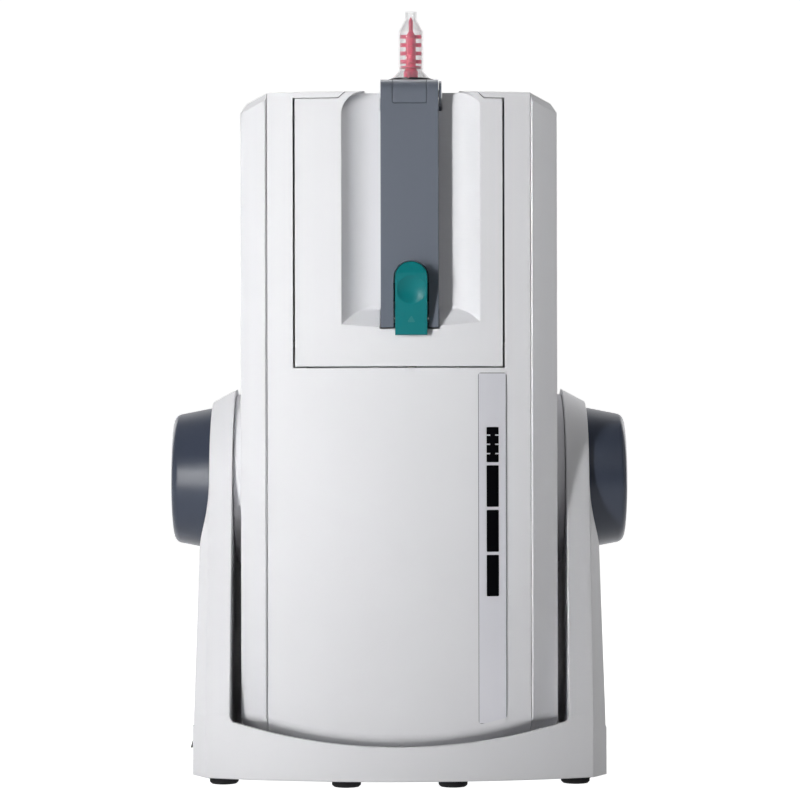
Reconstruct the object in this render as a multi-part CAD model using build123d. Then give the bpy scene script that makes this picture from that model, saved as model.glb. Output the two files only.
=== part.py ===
"""Dental impression mixer: a tilting mixing unit in a U-shaped stand.

Frame: millimetres, +X to the right, +Y to the rear, +Z up.  The origin is the centre of
the footprint on the table.  The unit tilts about the X line through (0, 0, PIVOT_Z).
"""
from build123d import *
import os
from math import acos, atan2, ceil, cos, hypot, pi, radians, sin, sqrt, tan

# ---------------------------------------------------------------- overall sizes
STAND_DEPTH = 184.0          # front of the bowed lip to the rear wall
PIVOT_Z = 162.5
UNIT_TOP = 371.6
UNIT_HALF_WIDTH = 85.5
UNIT_FRONT = -79.0           # middle of the bowed front face
UNIT_REAR = 79.0

# ---------------------------------------------------------------- walls and clearances
WALL = 3.0                   # moulded housing wall
SEAM = 0.3                   # gap between two covers
RUNNING = 0.06               # radial clearance of a shaft in its bearing
FREE = 0.4                   # gap between bodies that move past each other
ARM_GAP = 5.5                # side of the unit to the inner face of an arm
CRADLE_GAP = 4.0             # lower end of the unit to the cradle under it
DOOR_GAP = 1.1               # gap at the sides of the cartridge door
DOOR_GAP_LOW = 0.75          # and under it
DOOR_GAP_TOP = 0.4           # and over it

# ---------------------------------------------------------------- feet and stand
STAND_FRONT = -STAND_DEPTH / 2
STAND_REAR = STAND_DEPTH / 2
ARM_IN = UNIT_HALF_WIDTH + ARM_GAP    # inner face of an arm
ARM_CREASE = ARM_IN + 13.0   # plan crease between the front band and the corner chamfer
ARM_FLAT = ARM_IN + 13.05    # flat outer face of an arm at the hand wheel
STAND_HALF_WIDTH = ARM_IN + 21.0
FOOT_R = 7.8
FOOT_HEIGHT = 3.8
FOOT_CHAMFER = 1.0
FOOT_RIM = 1.2               # the foot's rim under the stand stands out by this
FOOT_RIM_T = 0.8
FOOT_SPIGOT_R = 3.0
FOOT_X = (28.5, STAND_HALF_WIDTH - 17.3)     # inner and outer feet, mirrored
FOOT_INSET = (11.7, 12.0)    # front feet, inner and outer, behind the bowed front wall
FOOT_REAR_Y = (STAND_REAR - 13.0, STAND_REAR - 25.0)
BASE_PLATE = 2.5
SCREW_HEAD_R = 3.2
SCREW_R = 1.6
BASE_SCREW_X = ARM_IN - 29.0
BASE_SCREW_Y = (STAND_FRONT + 24.0, STAND_REAR - 28.0)
BASE_SCREW_LENGTH = 4.0
STAND_BOTTOM = FOOT_HEIGHT
STAND_BOW_R = 307.0          # plan radius of the front wall
SKIRT_TOP = 29.4             # small step round the base
SKIRT_STEP = 0.6
KNEE_Z = 37.4                # height where the arms' edges start to lean
FLARE_Z = (123.4, 141.4, 163.5)       # the arm's side widens below the hand wheel
FLARE_IN = (2.0, 5.1)
ARM_CROWN = (50.0, 43.0, 28.9)        # round top radius at inner face, crease and side
CORNER_FRONT = STAND_FRONT + 32.0     # where the corner chamfers meet the side walls
CORNER_REAR = STAND_REAR - 16.0
CREASE_REAR = STAND_REAR - 4.0
LIP_CENTRE_Z = 22.1
LIP_END_Z = 33.7
LIP_CORNER_R = 4.0
LIP_WALL = 3.5
CRADLE_Z = 16.4              # lowest line of the round cradle
CRADLE_R = PIVOT_Z - CRADLE_Z
DECK_Z = 37.4                # raised rear deck over the inlet

# ---------------------------------------------------------------- pivot and hand wheels
SHAFT_R = 6.0
TRUNNION_R = 14.0
TRUNNION_FLANGE = 10.5       # flange of a trunnion round its tube
BUSH_R = 17.0
BOSS_R = 20.5
CLIP_R = 16.4
CLIP_T = 1.6
DISC_R = 48.4                # pivot disc on each side of the unit
DISC_FACE_R = 46.6
WHEEL_R = 39.6
WHEEL_RIM_R = 35.4
WHEEL_GAP = 1.6              # hand wheel to the recess in the arm round it
WHEEL_OUT = ARM_FLAT + 21.7
WHEEL_WALL = 2.8
WHEEL_FILLET = 4.5
WHEEL_HUB_R = 10.5

# ---------------------------------------------------------------- unit housing
UNIT_BOW_R = 326.0           # plan radius of the front face
SEAM_X = UNIT_HALF_WIDTH - 14.5       # seam between front cover and side covers
SIDE_PROUD = 1.0             # side covers stand this far in front of the front cover
SEAM_CHAMFER = 0.9           # on the side covers' inner front edges
SEAM_LAP = 1.0               # hollow of a side cover past its seam
STRIP_SLIP = 1.2             # wall on a front or rear strip, for each mm on the side
CORNER_SLIP = 0.55           # and its shift along the side, at the corners
SIDE_CORNER_FRONT = -62.3
SIDE_CORNER_REAR = 67.0
SIDE_DROP = 6.5              # fall of the side cover's top towards the outside
SIDE_CHAMFER = 3.6
SWING_MID = PIVOT_Z - 3.3    # swing radius of the front bottom edge, in the middle
SWING_SIDE = PIVOT_Z - 21.1  # and at the sides
SWING_REAR = CRADLE_R - CRADLE_GAP
UNIT_BOTTOM = PIVOT_Z - SWING_REAR
BREAK_R = 5.0                # rounding of the unit's lower front edge
COVER_SPLIT_Y = -20.0        # joint of front and rear covers under the unit
COVER_SPLIT_Z = 60.0         # height up to which that joint runs
TOP_SPLIT_Y = -62.0          # joint of the front cover's top edge and the top cover
VENT_ROWS = 9
VENT_PITCH = 7.0
VENT_SIZE = (40.0, 3.0)
VENT_X = 28.0
VENT_Z = 79.4
COVER_SCREW_X = SEAM_X - 10.0
COVER_SCREW_Z = (71.4, 201.4, UNIT_TOP - 20.0)
SCREW_SUNK = 0.6             # screw heads lie this far below the cover's face

# ---------------------------------------------------------------- chassis
PLATE = 2.0
CHASSIS_X = UNIT_HALF_WIDTH - 11.5
CHASSIS_Y = (-52.0, 56.0)
DECK_PLATE_Z = 50.4
CHASSIS_Z = (DECK_PLATE_Z - 2.0, UNIT_TOP - 17.0)
LIGHTENING_R = 20.0
LIGHTENING_AT = (0.45, 0.75)  # upper holes, from the pivot to the plate's top
PLUNGER_PLATE_Z = PIVOT_Z + 36.9
PLUNGER_PLATE_T = 3.0
BAY_FLOOR_Z = PLUNGER_PLATE_Z + PLUNGER_PLATE_T
BAY_X = 58.0
BAY_WALL = 2.0
BAY_FRONT_Y = -60.0
RAIL_DROP = 30.0             # rails that hold the bay liner, below its top edge
RAIL_T = 4.0
ROD_PASSAGE = 0.5            # clearance of the rods through the plates

# ---------------------------------------------------------------- cartridge door
DOOR_X = (-SEAM_X + 15.3, SEAM_X - 15.3)
DOOR_STEP = 3.6              # door's top edge below the unit's top
DOOR_Z = (PLUNGER_PLATE_Z + 25.0, UNIT_TOP - DOOR_STEP)
HUMP_X = (-28.2, 41.8)       # middle of the door's top edge that reaches the unit's top
HUMP_SLOPE = 4.0
DOOR_HINGE_Y = -74.0
DOOR_HINGE_Z = DOOR_Z[0] + 12.0
RECESS_X = (-22.2, 36.5)     # floor of the recess round the lever
RECESS_Z = DOOR_Z[0] + 31.0
RECESS_FLOOR_Y = -69.0
RECESS_BLEND = 18.0          # radius between the recess's floor and its side walls
RECESS_BLEND_LOW = 4.0       # and its lower wall
RECESS_CORNER = 12.5         # round upper corners of the recess's mouth
RECESS_MOUTH_X = (-30.7, 45.0)
LINER_WALL = 2.0
LINER_INSET = 4.0
HINGE_BLADE_X = 24.0
HINGE_BLADE_W = 6.0
HINGE_BLADE_T = 3.0
HINGE_PIN_R = 1.2
HINGE_KNUCKLE_R = 2.2
HINGE_LUG_W = 3.0
HINGE_SKIN = 1.8             # door skin in front of a hinge blade

# ---------------------------------------------------------------- clamp lever
LEVER_X = (-9.7, 21.3)
LEVER_GAP = 0.4              # lever to the slot round its lower end
LEVER_BOTTOM = DOOR_Z[0] + 20.8
LEVER_TOP = UNIT_TOP + 6.8
LEVER_FRONT = -80.0
LEVER_KNUCKLE_R = 7.5
LEVER_BACK = RECESS_FLOOR_Y - 0.8
LEVER_WALL = 2.4
LEVER_PIN_R = 2.0
LEVER_PIN_Y = LEVER_FRONT + LEVER_KNUCKLE_R
LEVER_PIN_Z = LEVER_TOP - LEVER_KNUCKLE_R
EAR_T = 1.3
EAR_R = (5.0, 6.6)           # ear inside the lever and ear beside it
EAR_ROOT = 4.0               # depth of the bracket behind the door's liner
EAR_LOW = 26.0               # foot of the bracket below the lever's pin
KNUCKLE_ROOM = 1.5           # door's opening below the knuckle
CAP_X = (-3.4, 15.1)
CAP_DROP = 13.4              # lower edge of the cap below the lever's top
CAP_Z = LEVER_TOP - CAP_DROP
CAP_CORNER = 1.0
CAP_T = 1.5
CAP_GAP = 0.25

# ---------------------------------------------------------------- start button
BUTTON_X = (-2.0, 15.2)
BUTTON_MID = (BUTTON_X[0] + BUTTON_X[1]) / 2
BUTTON_R = (BUTTON_X[1] - BUTTON_X[0]) / 2
BUTTON_BOTTOM = LEVER_BOTTOM - 4.1
BUTTON_TOP = LEVER_BOTTOM + 34.8
BUTTON_PEAK_Z = LEVER_BOTTOM + 28.7
BUTTON_PEAK_Y = LEVER_FRONT - 11.0
BUTTON_TOE_Y = LEVER_FRONT - 2.2
BUTTON_BACK_Y = LEVER_FRONT + 4.0
BUTTON_EDGE = 1.6
BUTTON_GAP = 0.8
BUTTON_PIN_Z = LEVER_BOTTOM + 5.2
BUTTON_PIN_Y = LEVER_FRONT + 2.4
BUTTON_PIN_R = 1.0
DIMPLE_Z = LEVER_BOTTOM + 19.9
DIMPLE_R = 7.7
DIMPLE_SPHERE_R = 16.0
START_SWITCH = (20.0, 3.6, 10.0)      # width, depth, height
START_SWITCH_Z = LEVER_BOTTOM + 19.2

# ---------------------------------------------------------------- label strip
LABEL_X = (SEAM_X - 28.7, SEAM_X - 13.4)
LABEL_Z = (UNIT_BOTTOM + 12.0, DOOR_Z[0] - 3.4)
LABEL_SLANT = 3.6
LABEL_CORNER = 1.6
LABEL_T = 0.5
LABEL_CLEAR = 0.1
WINDOW_X = (LABEL_X[0] + 4.55, LABEL_X[1] - 4.25)
WINDOW_TOP = LABEL_Z[1] - 29.2
WINDOW_HEIGHTS = (18.8, 22.2, 22.4, 22.1)
WINDOW_SPACE = 1.7
WINDOW_CORNER = 0.5
TICK_DROP = (4.3, 9.2, 14.2)          # silver marks below the top of the first window
TICK_L = 1.9
TICK_H = 0.7

# ---------------------------------------------------------------- cartridges and plungers
CARTRIDGE_Y = -23.0
BASE_TUBE_X = -22.5
BASE_TUBE_R = 28.5
CATALYST_TUBE_R = 13.0
TUBE_SPACE = 2.0             # between both tubes
CATALYST_TUBE_X = BASE_TUBE_X + BASE_TUBE_R + TUBE_SPACE + CATALYST_TUBE_R
TUBE_WALL = 1.5
SEAT_T = 3.0                 # cartridge seat on the bay floor
TUBE_Z = (BAY_FLOOR_Z + BAY_WALL + SEAT_T, UNIT_TOP - 17.0)
CAP_PLATE = 6.0
CAP_TOP = UNIT_TOP - 3.0
CAP_HALF_DEPTH = 12.0
PISTON_T = 6.0
PISTON_Z = TUBE_Z[0] + 2.0
PISTON_CLEAR = 0.4
PISTON_CHAMFER = 1.5
TRAVEL = 130.0
ROD_W = 10.0
ROD_BACK = 12.0              # rod depth in front of the rack's root line
BAY_BACK_Y = CARTRIDGE_Y + BASE_TUBE_R + 2.5
BAY_TOP = CAP_TOP - 4.0

# ---------------------------------------------------------------- rack drive
MODULE = 1.5
PINION_TEETH = 20
PRESSURE = radians(20)
BACKLASH = 0.3
DEDENDUM = 1.25
RACK_PITCH = pi * MODULE
PITCH_R = MODULE * PINION_TEETH / 2
RACK_BELOW = ceil(TRAVEL / RACK_PITCH)   # rack teeth below the pivot line at rest
RACK_ABOVE = 2

# ---------------------------------------------------------------- mixing tip and its drive
TIP_X = BASE_TUBE_X + BASE_TUBE_R + 0.8
TIP_Y = CARTRIDGE_Y - 19.0
TIP_R = 7.0
TIP_WALL = 0.9
TIP_FLARE_R = 11.0
TIP_Z = [UNIT_TOP + rise for rise in (7.8, 10.2, 14.6, 36.3, 42.8, 47.3)]
TIP_OUTLET_R = 3.45
TIP_NOTCH = 36.0             # half width of the top cover's notch at the front
COLLAR_R = 12.3
COLLAR_BELOW = 3.0           # collar's lower end below the tip's foot
COLLAR_LIP = 1.0
ROTOR_CORE_R = 2.8
ROTOR_SPIKE_R = 1.2
ROTOR_R = 5.8
ROTOR_DISC_Z = UNIT_TOP + 16.4
ROTOR_DISC_T = 0.9
ROTOR_ROWS = 4
ROTOR_PITCH = 4.55
ROTOR_ROW_Z = UNIT_TOP + 20.0
PADDLE = (1.6, 2.0)          # width and height of a paddle
ROTOR_CORE_Z = UNIT_TOP + 36.6
ROTOR_TOP_Z = UNIT_TOP + 44.7
ROTOR_SUNK = 2.0             # rotor's socket below the tip's foot
DRIVE_R = 3.0
BEARING_R = 6.0
BEARING_L = 5.0
PULLEY_R = 7.0
PULLEY_FLANGE = 2.0
PULLEY_FLANGE_T = 1.0
PULLEY_Z = (DECK_PLATE_Z - 12.4, DECK_PLATE_Z - 4.4)
BELT_T = 1.2
BELT_CLEAR = 0.05
MOTOR_Y = 32.0
MOTOR_R = 20.0
MOTOR_Z = (DECK_PLATE_Z + PLATE, DECK_PLATE_Z + PLATE + 64.0)
MOTOR_CAP = (8.0, 5.0)       # radius and height of the motor's end boss

# ---------------------------------------------------------------- feed drive and electronics
GEARBOX_X = (BASE_TUBE_X + ROD_W / 2 + 5.5, CATALYST_TUBE_X - ROD_W / 2 - 6.0)
GEARBOX_Y = (-11.0, 50.0)
GEARBOX_DROP = 28.5          # gearbox below the pivot line
GEARBOX_FILLET = 4.0
FEED_MOTOR_R = 14.0
FEED_MOTOR_L = 48.0
FEED_MOTOR_PLACE = (35.0, PIVOT_Z - 12.5)
FEED_MOTOR_CAP = (5.0, 4.0)
SUPPLY_X = 52.0
SUPPLY_Y = (BAY_BACK_Y + 6.0, 52.0)
SUPPLY_HEIGHT = 99.0
SUPPLY_CHAMFER = 2.0
BOARD_X = 50.0
BOARD_T = 1.6
BOARD_SPACER = (2.5, 6.0)    # radius and length
BOARD_Z = (BAY_FLOOR_Z + 5.0, BAY_FLOOR_Z + 129.0)
BOARD_SPACER_X = 44.0
BOARD_SPACER_RISE = (6.0, 84.0)
TRANSFORMER = ((-30.0, -8.0), 6.4, (24.0, 46.0))     # X limits, height, Z limits on the board
CONNECTOR = ((6.0, 34.0), 3.4, (74.0, 94.0))
CAPACITOR_X = (20.0, 36.0)
CAPACITOR = (6.0, 11.4, 34.0)         # radius, height, place on the board

# ---------------------------------------------------------------- mains parts
SWITCH_Y = CORNER_FRONT + 20.0
SWITCH_Z = 21.5
SWITCH_LENGTH = 11.0
SWITCH_WIDTH = 9.0
SWITCH_TILT = 14.0
SWITCH_WALL = 1.0
SWITCH_BEZEL = (1.0, 0.8)    # rim round the housing and its thickness
SWITCH_BODY = 12.0
SWITCH_POCKET = 7.0
INLET_X = 50.0
INLET_Z = 19.4
INLET_SIZE = (13.5, 9.8)     # half width and half height of the inlet's body
INLET_CUT = 5.5
INLET_WALL = 1.8
INLET_CLEAR = 0.2
INLET_BODY = 21.0
INLET_SOCKET = 16.0
INLET_FLANGE = (16.0, 11.5, 1.4)      # half width, half height, thickness
INLET_PIN = (2.0, 12.0, 4.0)          # width, length, height
INLET_PIN_PLACES = ((-7.0, 1.0), (0.0, -3.0), (7.0, 1.0))

REACH = STAND_DEPTH          # half size of a block that is sure to pass the object
HIGH = UNIT_TOP + 80.0


# ================================================================ shape helpers
def block(x0, x1, y0, y1, z0, z1):
    """Box given by its limits."""
    return Pos((x0 + x1) / 2, (y0 + y1) / 2, (z0 + z1) / 2) * Box(x1 - x0, y1 - y0, z1 - z0)


def prism_x(sketch, x0, x1):
    """Sketch drawn in (Y, Z), extruded along X."""
    return extrude(Plane.YZ.offset(x0) * sketch, x1 - x0, dir=(1, 0, 0))


def prism_y(sketch, y0, y1):
    """Sketch drawn in (X, Z), extruded along Y."""
    return extrude(Plane.XZ.offset(-y0) * sketch, y1 - y0, dir=(0, 1, 0))


def prism_z(sketch, z0, z1):
    """Sketch drawn in (X, Y), extruded along Z."""
    return extrude(Plane.XY.offset(z0) * sketch, z1 - z0, dir=(0, 0, 1))


def polygon(*points):
    return Polygon(*points, align=None)


def rod_x(radius, x0, x1, y=0.0, z=PIVOT_Z):
    return Pos((x0 + x1) / 2, y, z) * Rot(0, 90, 0) * Cylinder(radius, x1 - x0)


def rod_y(radius, y0, y1, x, z):
    return Pos(x, (y0 + y1) / 2, z) * Rot(90, 0, 0) * Cylinder(radius, y1 - y0)


def rod_z(radius, z0, z1, x, y):
    return Pos(x, y, (z0 + z1) / 2) * Cylinder(radius, z1 - z0)


def turned_x(points):
    """Solid of revolution about the pivot line, from (x, radius) points."""
    profile = polygon(*[(x, PIVOT_Z + radius) for x, radius in points])
    return revolve(Plane.XZ * profile, Axis((0, 0, PIVOT_Z), (1, 0, 0)))


def turned_z(points, x, y):
    """Solid of revolution about a vertical line, from (radius, z) points."""
    return Pos(x, y, 0) * revolve(Plane.XZ * polygon(*points), Axis.Z)


def both_sides(shape):
    """The shape and its mirror image across the middle plane."""
    return shape + mirror(shape, Plane.YZ)


def group(shapes):
    """Separate solids that share one node."""
    return Compound(children=[part for shape in shapes for part in shape.solids()])


# ================================================================ stand
def tangent_point(y, z, radius):
    """Where the line from (y, z) touches the circle of this radius about the pivot."""
    spread = acos(radius / hypot(y, z - PIVOT_Z))
    start = atan2(z - PIVOT_Z, y)
    angle = start + spread if y > 0 else start - spread
    return (radius * cos(angle), PIVOT_Z + radius * sin(angle))


def arm_section(x, front, rear, crown, foot):
    """Side outline of an arm: foot, leaning edges and a round top about the pivot."""
    front_touch = tangent_point(front, KNEE_Z, crown)
    rear_touch = tangent_point(rear, KNEE_Z, crown)
    outline = [
        Line((front, foot), (front, KNEE_Z)),
        Line((front, KNEE_Z), front_touch),
        ThreePointArc(front_touch, (0, PIVOT_Z + crown), rear_touch),
        Line(rear_touch, (rear, KNEE_Z)),
        Line((rear, KNEE_Z), (rear, foot)),
        Line((rear, foot), (front, foot)),
    ]
    return Plane.YZ.offset(x) * make_face(outline)


def stand_bow(x):
    """Y of the bowed front wall at this X."""
    return STAND_FRONT + STAND_BOW_R - sqrt(STAND_BOW_R ** 2 - x ** 2)


def stand_front_outline(inset):
    """Half of the stand seen from the front: draft, flare under the wheel, bevelled top."""
    side = STAND_HALF_WIDTH - inset
    above_skirt = side - SKIRT_STEP
    foot = STAND_BOTTOM - inset
    top = PIVOT_Z + ARM_CROWN[0] + 1 - inset
    flare = [
        (above_skirt - FLARE_IN[0], FLARE_Z[0]),
        (above_skirt - FLARE_IN[1], FLARE_Z[1]),
        (ARM_FLAT - inset, FLARE_Z[2]),
    ]
    outline = [
        Polyline((0, top), (0, foot), (side, foot), (side, SKIRT_TOP),
                 (above_skirt, SKIRT_TOP + SKIRT_STEP), flare[0]),
        Spline(*flare, tangents=((-0.02, 1), (0, 1))),
        Polyline(flare[-1], (ARM_FLAT - inset, top), (0, top)),
    ]
    return both_sides(make_face(outline))


def base_plan(inset):
    """Footprint of the stand: bowed front, chamfered corners, straight rear."""
    corner = [
        (ARM_IN, stand_bow(ARM_IN)),
        (ARM_CREASE, stand_bow(ARM_CREASE)),
        (STAND_HALF_WIDTH, CORNER_FRONT),
        (STAND_HALF_WIDTH, CORNER_REAR),
        (ARM_CREASE, CREASE_REAR),
        (ARM_IN, STAND_REAR),
    ]
    mirrored = [(-x, y) for x, y in reversed(corner)]
    outline = [
        ThreePointArc(mirrored[-1], (0, STAND_FRONT), corner[0]),
        Polyline(*corner, *mirrored),
    ]
    face = make_face(outline)
    return offset(face, -inset, kind=Kind.INTERSECTION) if inset else face


def stand_form(inset):
    """Outer form of the stand, or the same form one wall further in."""
    foot = STAND_BOTTOM - inset
    stations = [
        (ARM_IN, stand_bow(ARM_IN), STAND_REAR, ARM_CROWN[0]),
        (ARM_CREASE, stand_bow(ARM_CREASE), CREASE_REAR, ARM_CROWN[1]),
        (STAND_HALF_WIDTH, CORNER_FRONT, CORNER_REAR, ARM_CROWN[2]),
    ]
    sections = [
        arm_section(x, front + inset, rear - inset, crown - inset, foot)
        for x, front, rear, crown in stations
    ]
    arms = both_sides(loft(sections, ruled=True))
    base = prism_z(base_plan(inset), foot, KNEE_Z - inset)
    return (base + arms) & prism_y(stand_front_outline(inset), -REACH, REACH)


def stand_channel(grow):
    """Space between the arms: over the lip, above the floor and the round cradle."""
    half = ARM_IN + grow
    radius = CRADLE_R + grow
    deck = DECK_Z - grow
    deck_y = sqrt(radius ** 2 - (PIVOT_Z - deck) ** 2)
    turn = atan2(deck - PIVOT_Z, deck_y)
    middle = (turn - pi / 2) / 2
    side = make_face([
        Line((-REACH, PIVOT_Z - radius), (0, PIVOT_Z - radius)),
        ThreePointArc((0, PIVOT_Z - radius),
                      (radius * cos(middle), PIVOT_Z + radius * sin(middle)),
                      (deck_y, deck)),
        Polyline((deck_y, deck), (REACH, deck), (REACH, HIGH), (-REACH, HIGH),
                 (-REACH, PIVOT_Z - radius)),
    ])
    behind_lip = Pos(0, STAND_FRONT + STAND_BOW_R) * Circle(STAND_BOW_R - LIP_WALL - grow)
    inside = prism_x(side, -half, half) & prism_z(behind_lip, -REACH, HIGH)
    end_x = ARM_IN - LIP_CORNER_R
    end_z = LIP_END_Z - grow
    corner_z = LIP_END_Z + LIP_CORNER_R
    bulge = (LIP_CORNER_R + grow) * sin(pi / 4)
    lip = make_face([
        ThreePointArc((-end_x, end_z), (0, LIP_CENTRE_Z - grow), (end_x, end_z)),
        ThreePointArc((end_x, end_z), (end_x + bulge, corner_z - bulge), (half, corner_z)),
        Polyline((half, corner_z), (half, HIGH), (-half, HIGH), (-half, corner_z)),
        ThreePointArc((-half, corner_z), (-end_x - bulge, corner_z - bulge), (-end_x, end_z)),
    ])
    return inside + prism_y(lip, -REACH, CORNER_FRONT)


def make_stand_shell():
    """Hollow one-piece moulding: base skirt, cradle and two arms with pivot bosses."""
    wheel_recess = rod_x(WHEEL_R + WHEEL_GAP, ARM_FLAT, REACH)
    behind_recess = rod_x(WHEEL_R + WHEEL_GAP + WALL, ARM_FLAT - WALL, REACH)
    cavity = stand_form(WALL) - stand_channel(WALL) - both_sides(behind_recess)
    boss = rod_x(BOSS_R, ARM_IN, ARM_FLAT)
    bush_hole = rod_x(BUSH_R, ARM_IN - 1, ARM_FLAT + 1)
    shell = stand_form(0) - stand_channel(0) - cavity
    shell = shell + both_sides(boss) - both_sides(bush_hole) - both_sides(wheel_recess)
    shell -= switch_hole()
    shell -= inlet_hole()
    return shell


def base_screw_places():
    return [(x, y) for x in (-BASE_SCREW_X, BASE_SCREW_X) for y in BASE_SCREW_Y]


def foot_places():
    """X and Y of the feet: the front ones follow the bowed wall."""
    front = [stand_bow(x) + inset for x, inset in zip(FOOT_X, FOOT_INSET)]
    return [(side * x, y) for row in (front, FOOT_REAR_Y)
            for x, y in zip(FOOT_X, row) for side in (-1, 1)]


def make_base_plate():
    """Steel plate that closes the stand from below and carries the feet."""
    plate = prism_z(base_plan(WALL + SEAM), STAND_BOTTOM, STAND_BOTTOM + BASE_PLATE)
    for x, y in foot_places():
        plate -= rod_z(FOOT_SPIGOT_R, 0, HIGH, x, y)
    for x, y in base_screw_places():
        plate -= rod_z(SCREW_HEAD_R, 0, HIGH, x, y)
    return plate


def make_feet():
    """Rubber discs with a spigot pushed into the base plate."""
    top = FOOT_HEIGHT + BASE_PLATE
    rim = FOOT_HEIGHT - FOOT_RIM_T
    profile = [(0, 0), (FOOT_R - FOOT_CHAMFER, 0), (FOOT_R, FOOT_CHAMFER), (FOOT_R, rim),
               (FOOT_R + FOOT_RIM, rim), (FOOT_R + FOOT_RIM, FOOT_HEIGHT),
               (FOOT_SPIGOT_R, FOOT_HEIGHT), (FOOT_SPIGOT_R, top), (0, top)]
    return group([turned_z(profile, x, y) for x, y in foot_places()])


def make_base_screws():
    """Flat-headed screws that hold the base plate, with their heads sunk in it."""
    low = STAND_BOTTOM + SCREW_SUNK
    top = STAND_BOTTOM + BASE_PLATE
    end = top + BASE_SCREW_LENGTH
    profile = [(0, low), (SCREW_HEAD_R, low), (SCREW_HEAD_R, top), (SCREW_R, top),
               (SCREW_R, end), (0, end)]
    return group([turned_z(profile, x, y) for x, y in base_screw_places()])


def make_pivot_bushes():
    """Plastic bushes in the arms that the unit's trunnions turn in."""
    bush = rod_x(BUSH_R, ARM_IN, ARM_FLAT - WALL) - rod_x(TRUNNION_R + RUNNING, 0, REACH)
    return group([bush, mirror(bush, Plane.YZ)])


# ================================================================ mains parts
def switch_block(x0, x1, grow):
    """Block round the mains rocker, larger than it by this much on each side."""
    half_y = SWITCH_WIDTH / 2 + grow
    half_z = SWITCH_LENGTH / 2 + grow
    return block(x0, x1, SWITCH_Y - half_y, SWITCH_Y + half_y,
                 SWITCH_Z - half_z, SWITCH_Z + half_z)


def switch_hole():
    return switch_block(-REACH, -ARM_IN, SWITCH_WALL)


def make_switch_frame():
    """Housing of the mains rocker with a thin bezel on the stand's left side."""
    face = -STAND_HALF_WIDTH
    rim, thickness = SWITCH_BEZEL
    bezel = switch_block(face - thickness, face, SWITCH_WALL + rim)
    body = switch_block(face, face + SWITCH_BODY, SWITCH_WALL)
    return bezel + body - switch_block(-REACH, face + SWITCH_POCKET, FREE / 2)


def make_mains_rocker():
    """Rocker key tipped so that its lower end stands out."""
    half = SWITCH_LENGTH / 2
    drop = half * tan(radians(SWITCH_TILT))
    face = STAND_HALF_WIDTH + 1.0
    side = polygon((-face, SWITCH_Z), (-face - drop, SWITCH_Z - half + 0.4),
                   (-face + 3.5, SWITCH_Z - half + 1.6), (-face + 3.5, SWITCH_Z + half - 1.6),
                   (-face + drop, SWITCH_Z + half - 0.4))
    return prism_y(side, SWITCH_Y - SWITCH_WIDTH / 2, SWITCH_Y + SWITCH_WIDTH / 2)


def inlet_outline(grow):
    """Appliance inlet outline with its two cut corners."""
    half_x = INLET_SIZE[0] + grow
    half_z = INLET_SIZE[1] + grow
    cut = INLET_CUT
    return polygon(
        (INLET_X - half_x, INLET_Z - half_z), (INLET_X + half_x, INLET_Z - half_z),
        (INLET_X + half_x, INLET_Z + half_z - cut), (INLET_X + half_x - cut, INLET_Z + half_z),
        (INLET_X - half_x + cut, INLET_Z + half_z), (INLET_X - half_x, INLET_Z + half_z - cut),
    )


def inlet_flange(grow):
    half_x, half_z, thickness = INLET_FLANGE
    return block(INLET_X - half_x - grow, INLET_X + half_x + grow, STAND_REAR - thickness,
                 STAND_REAR, INLET_Z - half_z - grow, INLET_Z + half_z + grow)


def inlet_hole():
    body = prism_y(inlet_outline(INLET_CLEAR), STAND_REAR - INLET_BODY, REACH)
    return body + inlet_flange(INLET_CLEAR)


def make_power_inlet():
    """Appliance inlet at the rear: flange, shrouded socket and body."""
    body = prism_y(inlet_outline(0), STAND_REAR - INLET_BODY, STAND_REAR - INLET_FLANGE[2])
    socket = prism_y(inlet_outline(-INLET_WALL), STAND_REAR - INLET_SOCKET, REACH)
    return inlet_flange(0) + body - socket


def make_inlet_pins():
    """Three flat contact pins inside the inlet."""
    width, length, height = INLET_PIN
    back = STAND_REAR - INLET_SOCKET
    pins = []
    for x, z in INLET_PIN_PLACES:
        x0 = INLET_X + x - width / 2
        z0 = INLET_Z + z - height / 2
        pins.append(block(x0, x0 + width, back, back + length, z0, z0 + height))
    return group(pins)


# ================================================================ unit housing
def unit_bow(x):
    """Y of the unit's bowed front face at this X."""
    return UNIT_FRONT + UNIT_BOW_R - sqrt(UNIT_BOW_R ** 2 - x ** 2)


def swing_envelope(inset):
    """Space in which the unit's lower end clears the stand while it tilts."""
    side, mid = SWING_SIDE - inset, SWING_MID - inset
    barrel_profile = make_face([
        ThreePointArc((-UNIT_HALF_WIDTH, PIVOT_Z + side), (0, PIVOT_Z + mid),
                      (UNIT_HALF_WIDTH, PIVOT_Z + side)),
        Polyline((UNIT_HALF_WIDTH, PIVOT_Z + side), (UNIT_HALF_WIDTH, PIVOT_Z),
                 (-UNIT_HALF_WIDTH, PIVOT_Z), (-UNIT_HALF_WIDTH, PIVOT_Z + side)),
    ])
    barrel = revolve(Plane.XZ * barrel_profile, Axis((0, 0, PIVOT_Z), (1, 0, 0)))
    front = barrel & block(-REACH, REACH, -REACH, 0, UNIT_BOTTOM + inset, PIVOT_Z)
    rear = rod_x(SWING_REAR - inset, -REACH, REACH) & block(-REACH, REACH, 0, REACH, 0, PIVOT_Z)
    above = block(-REACH, REACH, -REACH, REACH, PIVOT_Z, HIGH)
    return front + rear + above


def round_lower_edge(body):
    """Rounds the edge in which the front face meets the swing surface below it."""
    low = [edge for edge in body.edges()
           if edge.center().Z < COVER_SPLIT_Z and edge.center().Y < COVER_SPLIT_Y
           and edge.bounding_box().size.X > BREAK_R]
    return fillet(ShapeList(low).sort_by(Axis.Y)[0], BREAK_R)


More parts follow.
